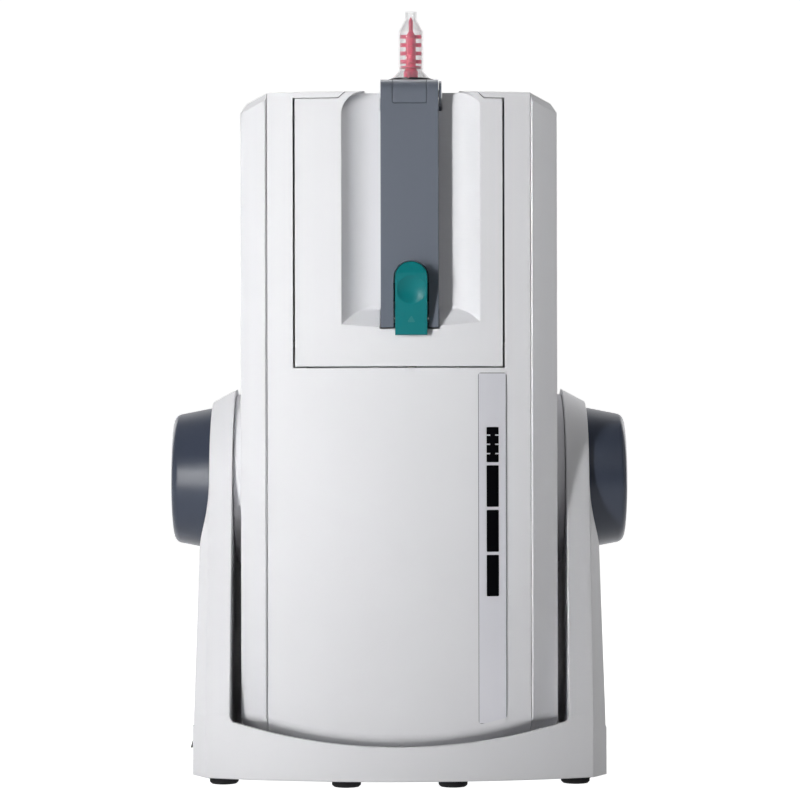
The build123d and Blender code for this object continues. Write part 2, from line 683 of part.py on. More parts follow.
def centre_form(inset):
    """Middle of the unit between the seams, bowed at the front and flat at the rear."""
    half = SEAM_X - SEAM
    bow = Pos(0, UNIT_FRONT + UNIT_BOW_R) * Circle(UNIT_BOW_R - inset)
    bowed = prism_z(bow, 0, UNIT_TOP - inset)
    body = bowed & block(-half, half, -REACH, UNIT_REAR - inset, 0, UNIT_TOP - inset)
    body &= swing_envelope(inset)
    return body if inset else round_lower_edge(body)


def side_plan(inset):
    """Plan of the right side cover: angled front strip, side wall, angled rear strip."""
    front = unit_bow(SEAM_X) - SIDE_PROUD
    out = UNIT_HALF_WIDTH - inset
    if inset:
        slip = inset * STRIP_SLIP
        back = SEAM_X - SEAM_LAP
        at_seam = [(back, front + slip), (SEAM_X, front + slip)]
        at_rear = [(SEAM_X, UNIT_REAR - slip), (back, UNIT_REAR - slip)]
    else:
        at_seam = [(SEAM_X, front + SEAM_CHAMFER), (SEAM_X + SEAM_CHAMFER, front)]
        at_rear = [(SEAM_X, UNIT_REAR)]
    return polygon(*at_seam, (out, SIDE_CORNER_FRONT + CORNER_SLIP * inset),
                   (out, SIDE_CORNER_REAR - CORNER_SLIP * inset), *at_rear)


def side_form(inset):
    """Right-hand side of the unit with its top falling to the outside."""
    width = UNIT_HALF_WIDTH - SEAM_X
    slope = SIDE_DROP / width
    above = polygon((SEAM_X - 2, UNIT_TOP - inset + 2 * slope), (SEAM_X - 2, HIGH),
                    (REACH, HIGH), (REACH, UNIT_TOP - inset - (REACH - SEAM_X) * slope))
    body = prism_z(side_plan(inset), 0, UNIT_TOP - inset) - prism_y(above, -REACH, REACH)
    if not inset:
        top_face = body.faces().sort_by(Axis.Z)[-1]
        rim = [edge for edge in top_face.edges() if edge.center().X > SEAM_X + 1]
        body = chamfer(rim, SIDE_CHAMFER)
    body &= swing_envelope(inset)
    return body if inset else round_lower_edge(body)


def make_side_cover():
    """Right side cover with the pivot disc that runs against the stand's arm."""
    face = ARM_IN - FREE
    disc = turned_x([(UNIT_HALF_WIDTH - 1, 0), (UNIT_HALF_WIDTH - 1, DISC_R),
                     (UNIT_HALF_WIDTH + 1, DISC_R), (face, DISC_FACE_R), (face, 0)])
    shell = side_form(0) - side_form(WALL)
    return shell + disc - rod_x(TRUNNION_R + FREE, 0, REACH)


def door_opening():
    """Opening of the front cover round the door."""
    frame = block(DOOR_X[0] - DOOR_GAP, DOOR_X[1] + DOOR_GAP, -REACH, TOP_SPLIT_Y + 1,
                  DOOR_Z[0] - DOOR_GAP_LOW, DOOR_Z[1] + DOOR_GAP_TOP)
    rise = UNIT_TOP - DOOR_Z[1]
    slip = DOOR_GAP_TOP * hypot(HUMP_SLOPE, rise) / rise
    left, right = HUMP_X[0] - slip, HUMP_X[1] + slip
    hump = polygon((left - HUMP_SLOPE, DOOR_Z[1]), (left, UNIT_TOP), (left, HIGH),
                   (right, HIGH), (right, UNIT_TOP), (right + HUMP_SLOPE, DOOR_Z[1]))
    return frame + prism_y(hump, -REACH, TOP_SPLIT_Y + 1)


def make_front_cover():
    """Front panel with its turned-in lower edge and two stubs beside the door's hump."""
    skin = centre_form(0) - centre_form(WALL)
    upper = block(-REACH, REACH, -REACH, TOP_SPLIT_Y, COVER_SPLIT_Z, HIGH)
    lower = block(-REACH, REACH, -REACH, COVER_SPLIT_Y, 0, COVER_SPLIT_Z)
    return (skin & (upper + lower)) - door_opening()


def vent_slots():
    """Cooling slots in the rear cover."""
    slot = extrude(SlotOverall(*VENT_SIZE), 2 * WALL, both=True)
    return [Pos(x, UNIT_REAR, VENT_Z + row * VENT_PITCH) * Rot(90, 0, 0) * slot
            for row in range(VENT_ROWS) for x in (-VENT_X, VENT_X)]


def cover_screw_places():
    return [(x, z) for x in (-COVER_SCREW_X, COVER_SCREW_X) for z in COVER_SCREW_Z]


def make_rear_cover():
    """Rear panel with cooling slots and its turned-in lower edge."""
    skin = centre_form(0) - centre_form(WALL)
    keep = block(-REACH, REACH, COVER_SPLIT_Y + SEAM, REACH, 0, COVER_SPLIT_Z)
    keep += block(-REACH, REACH, COVER_SPLIT_Z, REACH, COVER_SPLIT_Z, UNIT_TOP - WALL - SEAM)
    cover = skin & keep
    for slot in vent_slots():
        cover -= slot
    for x, z in cover_screw_places():
        cover -= rod_y(SCREW_HEAD_R, 0, REACH, x, z)
    return cover


def make_cover_screws():
    """Pan-head screws of the rear cover."""
    inside = UNIT_REAR - WALL
    screws = []
    for x, z in cover_screw_places():
        head = rod_y(SCREW_HEAD_R, inside, UNIT_REAR - SCREW_SUNK, x, z)
        screws.append(head + rod_y(SCREW_R, inside - 2 * WALL, inside, x, z))
    return group(screws)


def make_top_cover():
    """Top plate with the notch that the mixing tip stands in."""
    skin = centre_form(0) - centre_form(WALL)
    plate = skin & block(-REACH, REACH, TOP_SPLIT_Y + SEAM, REACH, UNIT_TOP - WALL, HIGH)
    low = UNIT_TOP - 2 * WALL
    notch = block(TIP_X - TIP_NOTCH, TIP_X + TIP_NOTCH, -REACH, TIP_Y, low, HIGH)
    notch += rod_z(TIP_FLARE_R + ARM_GAP, low, HIGH, TIP_X, TIP_Y)
    return plate - notch


# ================================================================ label strip
def front_film(thickness, outline):
    """Thin curved plate lying on the unit's bowed front face."""
    centre = Pos(0, UNIT_FRONT + UNIT_BOW_R)
    ring = centre * Circle(UNIT_BOW_R + thickness) - centre * Circle(UNIT_BOW_R)
    film = prism_z(ring, 0, UNIT_TOP) & prism_y(outline, -REACH, 0)
    return film


def window_limits(index):
    """Lower and upper edge of a level window, counted from the top."""
    high = WINDOW_TOP - sum(WINDOW_HEIGHTS[:index]) - index * WINDOW_SPACE
    return high - WINDOW_HEIGHTS[index], high


def window_outline(index, grow):
    """Level window, the first one with marks reaching in from both edges."""
    low, high = window_limits(index)
    left, right = WINDOW_X
    width, height = right - left + 2 * grow, high - low + 2 * grow
    outline = Pos((left + right) / 2, (low + high) / 2) * RectangleRounded(
        width, height, WINDOW_CORNER)
    if index == 0:
        for drop in TICK_DROP:
            for x in (left, right):
                outline -= Pos(x, high - drop) * Rectangle(2 * TICK_L, TICK_H - 2 * grow)
    return outline


def make_label_strip():
    """Silver strip with cut-outs for the level windows."""
    left, right = LABEL_X
    low, high = LABEL_Z
    outline = polygon((left, low), (right, low + LABEL_SLANT), (right, high), (left, high))
    outline = fillet(outline.vertices(), LABEL_CORNER)
    for index in range(len(WINDOW_HEIGHTS)):
        outline -= window_outline(index, LABEL_CLEAR)
    return front_film(LABEL_T, outline)


def make_level_windows():
    """Dark level windows, the top one with side marks."""
    return group([front_film(LABEL_T, window_outline(index, 0))
                  for index in range(len(WINDOW_HEIGHTS))])


# ================================================================ cartridge door
def door_outline():
    """Front view of the door with the hump in its top edge."""
    left, right = HUMP_X
    return polygon((DOOR_X[0], DOOR_Z[0]), (DOOR_X[1], DOOR_Z[0]), (DOOR_X[1], DOOR_Z[1]),
                   (right + HUMP_SLOPE, DOOR_Z[1]), (right, UNIT_TOP), (left, UNIT_TOP),
                   (left - HUMP_SLOPE, DOOR_Z[1]), (DOOR_X[0], DOOR_Z[1]))


def recess_form(grow):
    """Tray round the lever: flat floor running into 45 degree walls, open at the top."""
    front = UNIT_FRONT - WALL
    floor = RECESS_FLOOR_Y + grow
    spread = floor - front
    x0, x1 = RECESS_X[0] - grow, RECESS_X[1] + grow
    low = RECESS_Z - grow
    plan = polygon((x0 - spread, front), (x1 + spread, front), (x1, floor), (x0, floor))
    plan = fillet(plan.vertices().group_by(Axis.Y)[-1], RECESS_BLEND)
    side = polygon((front, low - spread), (floor, low), (floor, HIGH), (front, HIGH))
    side = fillet(side.vertices().sort_by_distance((floor, low))[0], RECESS_BLEND_LOW)
    left, right = RECESS_MOUTH_X[0] - grow, RECESS_MOUTH_X[1] + grow
    mouth = polygon((left, 0), (right, 0), (right, UNIT_TOP + grow), (left, UNIT_TOP + grow))
    mouth = fillet(mouth.vertices().group_by(Axis.Y)[-1], RECESS_CORNER + grow)
    open_top = polygon((left + RECESS_CORNER, 0), (right - RECESS_CORNER, 0),
                       (right - RECESS_CORNER, HIGH), (left + RECESS_CORNER, HIGH))
    tray = prism_z(plan, 0, HIGH) & prism_x(side, -REACH, REACH)
    return tray & prism_y(mouth + open_top, -REACH, 0)


def lever_slot(grow):
    """Upright-walled slot under the lever's lower end."""
    return block(LEVER_X[0] - LEVER_GAP - grow, LEVER_X[1] + LEVER_GAP + grow,
                 -REACH, RECESS_FLOOR_Y + grow, LEVER_BOTTOM - BUTTON_GAP - grow, RECESS_Z)


def knuckle_slot():
    """Opening in the door's top for the lever's knuckle and the ear beside it."""
    low = LEVER_PIN_Z - LEVER_KNUCKLE_R - KNUCKLE_ROOM
    return block(LEVER_X[0] - LEVER_GAP, LEVER_X[1] + EAR_T + 2 * FREE, -REACH, 0, low, HIGH)


def make_door_shell():
    """Bowed door skin with the lever recess and the hinge lugs behind it."""
    centre = Pos(0, UNIT_FRONT + UNIT_BOW_R)
    outer = prism_z(centre * Circle(UNIT_BOW_R), 0, HIGH)
    inner = prism_z(centre * Circle(UNIT_BOW_R - WALL), 0, HIGH)
    outline = door_outline()
    zone = prism_y(outline, -REACH, RECESS_FLOOR_Y + 2 * WALL)
    body = (outer - inner) & zone
    tray = (recess_form(WALL) + lever_slot(WALL)) & outer & zone
    rim = (outer & zone) - prism_y(offset(outline, -WALL), -REACH, 0)
    rim &= block(-REACH, REACH, -REACH, RECESS_FLOOR_Y, RECESS_Z, HIGH)
    shell = body + tray + rim - recess_form(0) - lever_slot(0) - knuckle_slot()
    half = HINGE_BLADE_W / 2 + FREE
    for x in (-HINGE_BLADE_X, HINGE_BLADE_X):
        shell += hinge_lug(x - half - HINGE_LUG_W, x - half)
        shell += hinge_lug(x + half, x + half + HINGE_LUG_W)
        shell -= hinge_pin(x, 0)
        shell -= block(x - half, x + half, unit_bow(x) + HINGE_SKIN,
                       DOOR_HINGE_Y + HINGE_KNUCKLE_R + HINGE_SKIN,
                       DOOR_Z[0], DOOR_HINGE_Z + HINGE_KNUCKLE_R)
    return shell


def hinge_lug(x0, x1):
    """Lug on the door's inside that holds an end of a hinge pin."""
    lug = rod_x(HINGE_KNUCKLE_R, x0, x1, DOOR_HINGE_Y, DOOR_HINGE_Z)
    face = unit_bow(HINGE_BLADE_X) + WALL / 2
    return lug + block(x0, x1, face, DOOR_HINGE_Y, DOOR_HINGE_Z - HINGE_KNUCKLE_R,
                       DOOR_HINGE_Z + HINGE_KNUCKLE_R)


def hinge_pin(x, clearance):
    """Steel pin of one door hinge, or the hole round it."""
    half = HINGE_BLADE_W / 2 + FREE + HINGE_LUG_W
    return rod_x(HINGE_PIN_R + clearance, x - half, x + half, DOOR_HINGE_Y, DOOR_HINGE_Z)


def make_door_liner():
    """Inner panel of the door."""
    y0 = RECESS_FLOOR_Y + WALL
    return block(DOOR_X[0] + LINER_INSET, DOOR_X[1] - LINER_INSET, y0, y0 + LINER_WALL,
                 DOOR_HINGE_Z + 3 * LINER_INSET, LEVER_PIN_Z - 2 * LEVER_KNUCKLE_R)


def make_hinge_pins():
    """Steel pins of the two door hinges."""
    return group([hinge_pin(x, 0) for x in (-HINGE_BLADE_X, HINGE_BLADE_X)])


def make_hinge_brackets():
    """Blades on the unit that carry the door's pins, clear of the door's lower edge."""
    bar_y = DOOR_HINGE_Y + DOOR_HINGE_Z - DOOR_Z[0] + HINGE_SKIN
    half, half_t = HINGE_BLADE_W / 2, HINGE_BLADE_T / 2
    low, high = DOOR_HINGE_Z - half_t, DOOR_HINGE_Z + half_t
    blades = []
    for side in (-1, 1):
        x = side * HINGE_BLADE_X
        wall = side * BAY_X
        blade = block(x - half, x + half, DOOR_HINGE_Y, bar_y + HINGE_BLADE_T, low, high)
        blade += rod_x(HINGE_KNUCKLE_R - FREE, x - half, x + half, DOOR_HINGE_Y, DOOR_HINGE_Z)
        blade += block(min(x - half, wall), max(x + half, wall), bar_y,
                       bar_y + HINGE_BLADE_T, low, high)
        blades.append(blade - hinge_pin(x, RUNNING))
    return group(blades)


# ================================================================ clamp lever
def lever_side(inset):
    """Side view of the lever: slab with a round knuckle at its upper end."""
    slab = polygon((LEVER_FRONT + inset, LEVER_BOTTOM + inset),
                   (LEVER_BACK, LEVER_BOTTOM + inset), (LEVER_BACK, LEVER_PIN_Z),
                   (LEVER_FRONT + inset, LEVER_PIN_Z))
    return slab + Pos(LEVER_PIN_Y, LEVER_PIN_Z) * Circle(LEVER_KNUCKLE_R - inset)


def cap_zone(grow):
    """Space of the small cover plate over the lever's upper end."""
    x0, x1 = CAP_X[0] - grow, CAP_X[1] + grow
    outline = polygon((x0, CAP_Z - grow), (x1, CAP_Z - grow), (x1, HIGH), (x0, HIGH))
    outline = fillet(outline.vertices().group_by(Axis.Y)[0], CAP_CORNER)
    return prism_y(outline, -REACH, LEVER_PIN_Y)


def ear_places():
    """X limits and radius of the ear inside the lever and of the ear beside it."""
    inner = LEVER_X[0] + LEVER_WALL + FREE
    outer = LEVER_X[1] + FREE
    return [(inner, inner + EAR_T, EAR_R[0]), (outer, outer + EAR_T, EAR_R[1])]


def make_clamp_lever():
    """Lever moulding, open at its back, with the button's slot and the cap's pocket."""
    x0, x1 = LEVER_X
    front = LEVER_FRONT + LEVER_WALL
    lever = prism_x(lever_side(0), x0, x1)
    lever -= block(x0 + LEVER_WALL, x1 - LEVER_WALL, front, 0, LEVER_BOTTOM + LEVER_WALL,
                   LEVER_PIN_Z - LEVER_KNUCKLE_R - LEVER_WALL)
    ear0, ear1, ear_r = ear_places()[0]
    lever -= rod_x(ear_r + FREE, ear0 - FREE, ear1 + FREE, LEVER_PIN_Y, LEVER_PIN_Z)
    lever -= block(ear0 - FREE, ear1 + FREE, LEVER_PIN_Y, 0,
                   LEVER_PIN_Z - 2 * LEVER_KNUCKLE_R, HIGH)
    lever -= prism_y(button_outline(BUTTON_GAP), -REACH, front + 1)
    lever -= cap_zone(0) - prism_x(lever_side(CAP_T), -REACH, REACH)
    lever -= rod_x(LEVER_PIN_R, -REACH, REACH, LEVER_PIN_Y, LEVER_PIN_Z)
    return lever - make_button_pin()


def make_lever_cap():
    """Small plate let into the lever over its pin."""
    skin = prism_x(lever_side(0) - lever_side(CAP_T), CAP_X[0] + CAP_GAP, CAP_X[1] - CAP_GAP)
    return skin & cap_zone(-CAP_GAP)


def make_lever_pin():
    """Steel pin through the ears and the lever's knuckle."""
    return rod_x(LEVER_PIN_R, LEVER_X[0] + LEVER_WALL / 2, LEVER_X[1] + FREE + EAR_T,
                 LEVER_PIN_Y, LEVER_PIN_Z)


def make_lever_bracket():
    """Bracket behind the door's liner with an ear inside the lever and one beside it."""
    back = RECESS_FLOOR_Y + WALL + LINER_WALL
    rear = back + EAR_ROOT
    low = LEVER_PIN_Z - EAR_LOW
    pin = rod_x(LEVER_PIN_R + RUNNING, -REACH, REACH, LEVER_PIN_Y, LEVER_PIN_Z)
    places = ear_places()
    bracket = block(places[0][0], places[1][1], back, rear, low,
                    LEVER_PIN_Z - 2 * LEVER_KNUCKLE_R)
    for x0, x1, radius in places:
        stem = polygon((LEVER_PIN_Y, LEVER_PIN_Z), (rear, LEVER_PIN_Z - LEVER_KNUCKLE_R - FREE),
                       (rear, low), (back, low),
                       (back, LEVER_PIN_Z - LEVER_KNUCKLE_R - KNUCKLE_ROOM),
                       (LEVER_PIN_Y, LEVER_PIN_Z - EAR_R[0]))
        bracket += prism_x(stem, x0, x1)
        bracket += rod_x(radius, x0, x1, LEVER_PIN_Y, LEVER_PIN_Z)
    return bracket - pin


# ================================================================ start button
def button_outline(grow):
    """Front view of the button: straight sides and a half-round top."""
    x0, x1 = BUTTON_X[0] - grow, BUTTON_X[1] + grow
    centre_z = BUTTON_TOP - BUTTON_R
    straight = polygon((x0, BUTTON_BOTTOM), (x1, BUTTON_BOTTOM), (x1, centre_z), (x0, centre_z))
    return straight + Pos(BUTTON_MID, centre_z) * Circle(BUTTON_R + grow)


def make_start_button():
    """Wedge-shaped key with a finger dimple, hinged at its toe."""
    foot_y = LEVER_FRONT - FREE
    foot_z = LEVER_BOTTOM + LEVER_WALL
    side = polygon((foot_y, BUTTON_BOTTOM), (BUTTON_TOE_Y, BUTTON_BOTTOM),
                   (BUTTON_PEAK_Y, BUTTON_PEAK_Z), (BUTTON_PEAK_Y + BUTTON_EDGE, BUTTON_TOP),
                   (BUTTON_BACK_Y, BUTTON_TOP), (BUTTON_BACK_Y, foot_z + BUTTON_GAP),
                   (foot_y, foot_z - BUTTON_GAP))
    key = prism_x(side, *BUTTON_X) & prism_y(button_outline(0), -REACH, 0)
    tilt = atan2(BUTTON_TOE_Y - BUTTON_PEAK_Y, BUTTON_PEAK_Z - BUTTON_BOTTOM)
    face_y = BUTTON_TOE_Y - (DIMPLE_Z - BUTTON_BOTTOM) * tan(tilt)
    back_off = sqrt(DIMPLE_SPHERE_R ** 2 - DIMPLE_R ** 2)
    key -= Pos(BUTTON_MID, face_y - back_off * cos(tilt),
               DIMPLE_Z - back_off * sin(tilt)) * Sphere(DIMPLE_SPHERE_R)
    return key - rod_x(BUTTON_PIN_R + RUNNING, -REACH, REACH, BUTTON_PIN_Y, BUTTON_PIN_Z)


def make_button_pin():
    """Pin that the start button rocks on, held in the lever's side walls."""
    return rod_x(BUTTON_PIN_R, LEVER_X[0] + LEVER_WALL / 2, LEVER_X[1] - LEVER_WALL / 2,
                 BUTTON_PIN_Y, BUTTON_PIN_Z)


def make_start_switch():
    """Microswitch under the button, inside the lever."""
    width, depth, height = START_SWITCH
    face = LEVER_BACK - depth
    body = block(BUTTON_MID - width / 2, BUTTON_MID + width / 2, face, LEVER_BACK,
                 START_SWITCH_Z - height / 2, START_SWITCH_Z + height / 2)
    return body + rod_y(BUTTON_PIN_R, face - BUTTON_GAP, face, BUTTON_MID, START_SWITCH_Z)


# ================================================================ cartridges and mixing tip
def tube(radius, wall, z0, z1, x, y):
    return rod_z(radius, z0, z1, x, y) - rod_z(radius - wall, z0 - 1, z1 + 1, x, y)


def make_base_cartridge():
    """Large tube that holds the base paste."""
    return tube(BASE_TUBE_R, TUBE_WALL, *TUBE_Z, BASE_TUBE_X, CARTRIDGE_Y)


def make_catalyst_cartridge():
    """Small tube that holds the catalyst paste."""
    return tube(CATALYST_TUBE_R, TUBE_WALL, *TUBE_Z, CATALYST_TUBE_X, CARTRIDGE_Y)


def make_cartridge_cap():
    """Front cap that joins both tubes and leads to the mixing tip."""
    low = TUBE_Z[1]
    mid = low + CAP_PLATE
    neck = TIP_Z[0] - COLLAR_BELOW
    cap = rod_z(BASE_TUBE_R, low, mid, BASE_TUBE_X, CARTRIDGE_Y)
    cap += rod_z(CATALYST_TUBE_R, low, mid, CATALYST_TUBE_X, CARTRIDGE_Y)
    cap += block(BASE_TUBE_X, CATALYST_TUBE_X, CARTRIDGE_Y - CAP_HALF_DEPTH,
                 CARTRIDGE_Y + CAP_HALF_DEPTH, low, mid)
    cap += rod_z(TIP_FLARE_R, low, neck, TIP_X, TIP_Y)
    cap += block(TIP_X - TIP_FLARE_R + WALL, TIP_X + TIP_FLARE_R - WALL, TIP_Y, CARTRIDGE_Y,
                 low, CAP_TOP)
    return cap - rod_z(DRIVE_R + FREE, low - 1, HIGH, TIP_X, TIP_Y)


def make_tip_collar():
    """Black collar that locks the mixing tip on the cap."""
    foot, rim = TIP_Z[0], TIP_Z[1]
    low = foot - COLLAR_BELOW
    profile = [(TIP_FLARE_R - COLLAR_LIP, low), (COLLAR_R, low), (COLLAR_R, rim),
               (TIP_FLARE_R, rim), (TIP_FLARE_R, foot), (TIP_FLARE_R - COLLAR_LIP, foot)]
    return turned_z(profile, TIP_X, TIP_Y)


def make_tip_shell():
    """Clear mixing tip: flared foot, straight barrel, shoulder and outlet."""
    z0, z1, z2, z3, z4, z5 = TIP_Z
    bore = TIP_R - TIP_WALL
    outlet_bore = TIP_OUTLET_R - TIP_WALL
    profile = [
        (TIP_FLARE_R, z0), (TIP_FLARE_R, z1), (TIP_R, z2), (TIP_R, z3), (TIP_OUTLET_R, z4),
        (TIP_OUTLET_R, z5), (outlet_bore, z5), (outlet_bore, z4), (bore, z3), (bore, z2),
        (TIP_FLARE_R - TIP_WALL, z1 - TIP_WALL / 2), (TIP_FLARE_R - TIP_WALL, z0),
    ]
    return turned_z(profile, TIP_X, TIP_Y)


def make_mixing_rotor():
    """Pink rotor: a disc, a core with rows of crossed paddles and a slender spike."""
    foot = TIP_Z[0] - ROTOR_SUNK
    disc = ROTOR_DISC_Z
    core = [(0, foot), (DRIVE_R + 1, foot), (DRIVE_R + 1, disc - ROTOR_SUNK),
            (ROTOR_CORE_R, disc), (ROTOR_CORE_R, ROTOR_CORE_Z - ROTOR_CORE_R),
            (ROTOR_SPIKE_R, ROTOR_CORE_Z), (ROTOR_SPIKE_R, ROTOR_TOP_Z - 2 * ROTOR_SPIKE_R),
            (0, ROTOR_TOP_Z)]
    rotor = turned_z(core, TIP_X, TIP_Y)
    rotor += rod_z(ROTOR_R, disc, disc + ROTOR_DISC_T, TIP_X, TIP_Y)
    paddle = Box(2 * ROTOR_R, *PADDLE)
    for row in range(ROTOR_ROWS):
        for turn in (0, 90):
            place = Pos(TIP_X, TIP_Y, ROTOR_ROW_Z + row * ROTOR_PITCH)
            rotor += place * Rot(0, 0, turn) * paddle
    return rotor


def make_drive_shaft():
    """Long shaft from the belt drive up to the mixing rotor."""
    low = PULLEY_Z[0] - 2 * PULLEY_FLANGE_T
    return rod_z(DRIVE_R, low, TIP_Z[0] - ROTOR_SUNK, TIP_X, TIP_Y)


def pulley(x, y, bore):
    low, high = PULLEY_Z
    rim = PULLEY_R + PULLEY_FLANGE
    bottom, top = low - PULLEY_FLANGE_T, high + PULLEY_FLANGE_T
    profile = [(bore, bottom), (rim, bottom), (rim, low), (PULLEY_R, low), (PULLEY_R, high),
               (rim, high), (rim, top), (bore, top)]
    return turned_z(profile, x, y)


def make_mixer_pulley():
    """Driven pulley on the mixing shaft."""
    return pulley(TIP_X, TIP_Y, DRIVE_R)


def make_motor_pulley():
    """Driving pulley with the motor's shaft end in it."""
    shaft = rod_z(DRIVE_R, PULLEY_Z[0] - PULLEY_FLANGE_T, MOTOR_Z[0], TIP_X, MOTOR_Y)
    return pulley(TIP_X, MOTOR_Y, DRIVE_R) + shaft


def make_drive_belt():
    """Flat belt round both pulleys."""
    low, high = PULLEY_Z[0] + FREE, PULLEY_Z[1] - FREE
    inner_r = PULLEY_R + BELT_CLEAR
    length = MOTOR_Y - TIP_Y
    middle = (MOTOR_Y + TIP_Y) / 2
    loops = []
    for radius in (inner_r + BELT_T, inner_r):
        loops.append(Pos(TIP_X, middle) * Rot(0, 0, 90) * SlotCenterToCenter(length, 2 * radius))
    return prism_z(loops[0] - loops[1], low, high)


# ================================================================ rack drive
def involute(radius, base_radius):
    angle = acos(base_radius / radius)
    return tan(angle) - angle


def pinion_outline():
    """Involute spur gear drawn in (Y, Z) with a tooth gap towards the racks."""
    base_radius = PITCH_R * cos(PRESSURE)
    tip = PITCH_R + MODULE
    root = PITCH_R - DEDENDUM * MODULE
    half = pi / (2 * PINION_TEETH) - BACKLASH / (2 * PITCH_R)
    at_pitch = tan(PRESSURE) - PRESSURE
    flank = [(root, half + at_pitch)]
    for radius in (base_radius + 0.01, PITCH_R, tip):
        flank.append((radius, half + at_pitch - involute(radius, base_radius)))
    points = []
    for tooth in range(PINION_TEETH):
        centre = pi + (tooth + 0.5) * 2 * pi / PINION_TEETH
        points += [(r * cos(centre - a), r * sin(centre - a)) for r, a in flank]
        points += [(r * cos(centre + a), r * sin(centre + a)) for r, a in reversed(flank)]
    return polygon(*points)


def rack_outline():
    """Rack drawn in (Y, Z): a rod whose rear edge carries straight-flanked teeth."""
    tip_y = -PITCH_R + MODULE
    root_y = -PITCH_R - DEDENDUM * MODULE
    half_pitch_line = RACK_PITCH / 4 - BACKLASH / 2
    half_tip = half_pitch_line - MODULE * tan(PRESSURE)
    half_root = half_pitch_line + DEDENDUM * MODULE * tan(PRESSURE)
    low = PIVOT_Z - (RACK_BELOW + 0.5) * RACK_PITCH
    points = [(root_y - ROD_BACK, PISTON_Z), (root_y - ROD_BACK, low), (root_y, low)]
    for index in range(-RACK_BELOW, RACK_ABOVE + 1):
        z = PIVOT_Z + index * RACK_PITCH
        points += [(root_y, z - half_root), (tip_y, z - half_tip),
                   (tip_y, z + half_tip), (root_y, z + half_root)]
    points.append((root_y, PISTON_Z))
    return polygon(*points)


def make_rack_rod(x):
    """Plunger rod with the rack cut in its rear edge."""
    return prism_x(rack_outline(), x - ROD_W / 2, x + ROD_W / 2)


def make_piston(x, tube_radius):
    """Plunger disc with a chamfered front edge."""
    radius = tube_radius - TUBE_WALL - PISTON_CLEAR
    z0, z1 = PISTON_Z, PISTON_Z + PISTON_T
    profile = [(0, z0), (radius, z0), (radius, z1 - PISTON_CHAMFER),
               (radius - PISTON_CHAMFER, z1), (0, z1)]
    return turned_z(profile, x, CARTRIDGE_Y)


def make_rack_pinions():
    """Two pinions on the cross shaft, one for each rack."""
    pinions = []
    for x in (BASE_TUBE_X, CATALYST_TUBE_X):
        gear = Pos(0, 0, PIVOT_Z) * prism_x(pinion_outline(), x - ROD_W / 2, x + ROD_W / 2)
        pinions.append(gear - rod_x(SHAFT_R, -REACH, REACH))
    return group(pinions)


def make_cross_shaft():
    """Steel shaft from hand wheel to hand wheel through the hollow trunnions."""
    end = WHEEL_OUT - WHEEL_WALL
    return rod_x(SHAFT_R, -end, end)


def make_hand_wheel():
    """Right hand wheel: tapered cup with a hub on the shaft."""
    start = ARM_FLAT + FREE
    end = WHEEL_OUT
    taper = (WHEEL_R - WHEEL_RIM_R) / (end - start)
    outer = make_face(Polyline((start, PIVOT_Z), (start, PIVOT_Z + WHEEL_R),
                               (end, PIVOT_Z + WHEEL_RIM_R), (end, PIVOT_Z), close=True))
    rim = [v for v in outer.vertices() if v.Z == 0 and v.X > end - 1 and v.Y > PIVOT_Z + 1]
    outer = fillet(rim, WHEEL_FILLET)
    body = revolve(Plane.XZ * outer, Axis((0, 0, PIVOT_Z), (1, 0, 0)))
    inner_end = end - WHEEL_WALL
    inner_r = WHEEL_R - WHEEL_WALL
    cup = turned_x([(start - 1, WHEEL_HUB_R), (start - 1, inner_r + taper),
                    (inner_end, inner_r - taper * (inner_end - start) - 1),
                    (inner_end, WHEEL_HUB_R)])
    hub_bore = rod_x(SHAFT_R, start - 1, inner_end)
    return body - cup - hub_bore


def make_trunnion():
    """Hollow trunnion that carries the unit and passes the cross shaft."""
    inner = CHASSIS_X - WALL
    end = ARM_FLAT - FREE
    flange = TRUNNION_R + TRUNNION_FLANGE
    bore = SHAFT_R + RUNNING
    profile = [(inner, bore), (inner, flange), (CHASSIS_X, flange), (CHASSIS_X, TRUNNION_R),
               (end, TRUNNION_R), (end, bore)]
    return turned_x(profile)


def make_trunnion_clips():
    """Retaining rings on the trunnions' outer ends."""
    start = ARM_FLAT - WALL + FREE
    clip = rod_x(CLIP_R, start, start + CLIP_T) - rod_x(TRUNNION_R, 0, REACH)
    return group([clip, mirror(clip, Plane.YZ)])


# ================================================================ chassis and drives
def make_chassis_plate():
    """Right chassis plate inside the side cover, with lightening holes."""
    plate = block(CHASSIS_X, CHASSIS_X + PLATE, *CHASSIS_Y, *CHASSIS_Z)
    plate -= rod_x(TRUNNION_R, 0, REACH)
    low, high = CHASSIS_Z
    middle = (CHASSIS_Y[0] + CHASSIS_Y[1]) / 2
    upper = [PIVOT_Z + (high - PIVOT_Z) * share for share in LIGHTENING_AT]
    for z in ((low + PIVOT_Z) / 2, *upper):
        plate -= rod_x(LIGHTENING_R, 0, REACH, middle, z)
    return plate


def rod_passages(z0, z1, grow):
    """Clearance for both rack rods and the mixing shaft through a plate."""
    root_y = -PITCH_R - DEDENDUM * MODULE
    y0, y1 = root_y - ROD_BACK - grow, -PITCH_R + MODULE + grow
    cuts = rod_z(DRIVE_R + grow, z0, z1, TIP_X, TIP_Y)
    for x in (BASE_TUBE_X, CATALYST_TUBE_X):
        cuts += block(x - ROD_W / 2 - grow, x + ROD_W / 2 + grow, y0, y1, z0, z1)
    return cuts


def make_motor_deck():
    """Lower cross plate that carries the mixing motor and the belt drive."""
    plate = block(-CHASSIS_X, CHASSIS_X, *CHASSIS_Y, DECK_PLATE_Z, DECK_PLATE_Z + PLATE)
    plate -= rod_passages(0, HIGH, 2 * ROD_PASSAGE)
    return plate - rod_z(DRIVE_R + FREE, 0, HIGH, TIP_X, MOTOR_Y)


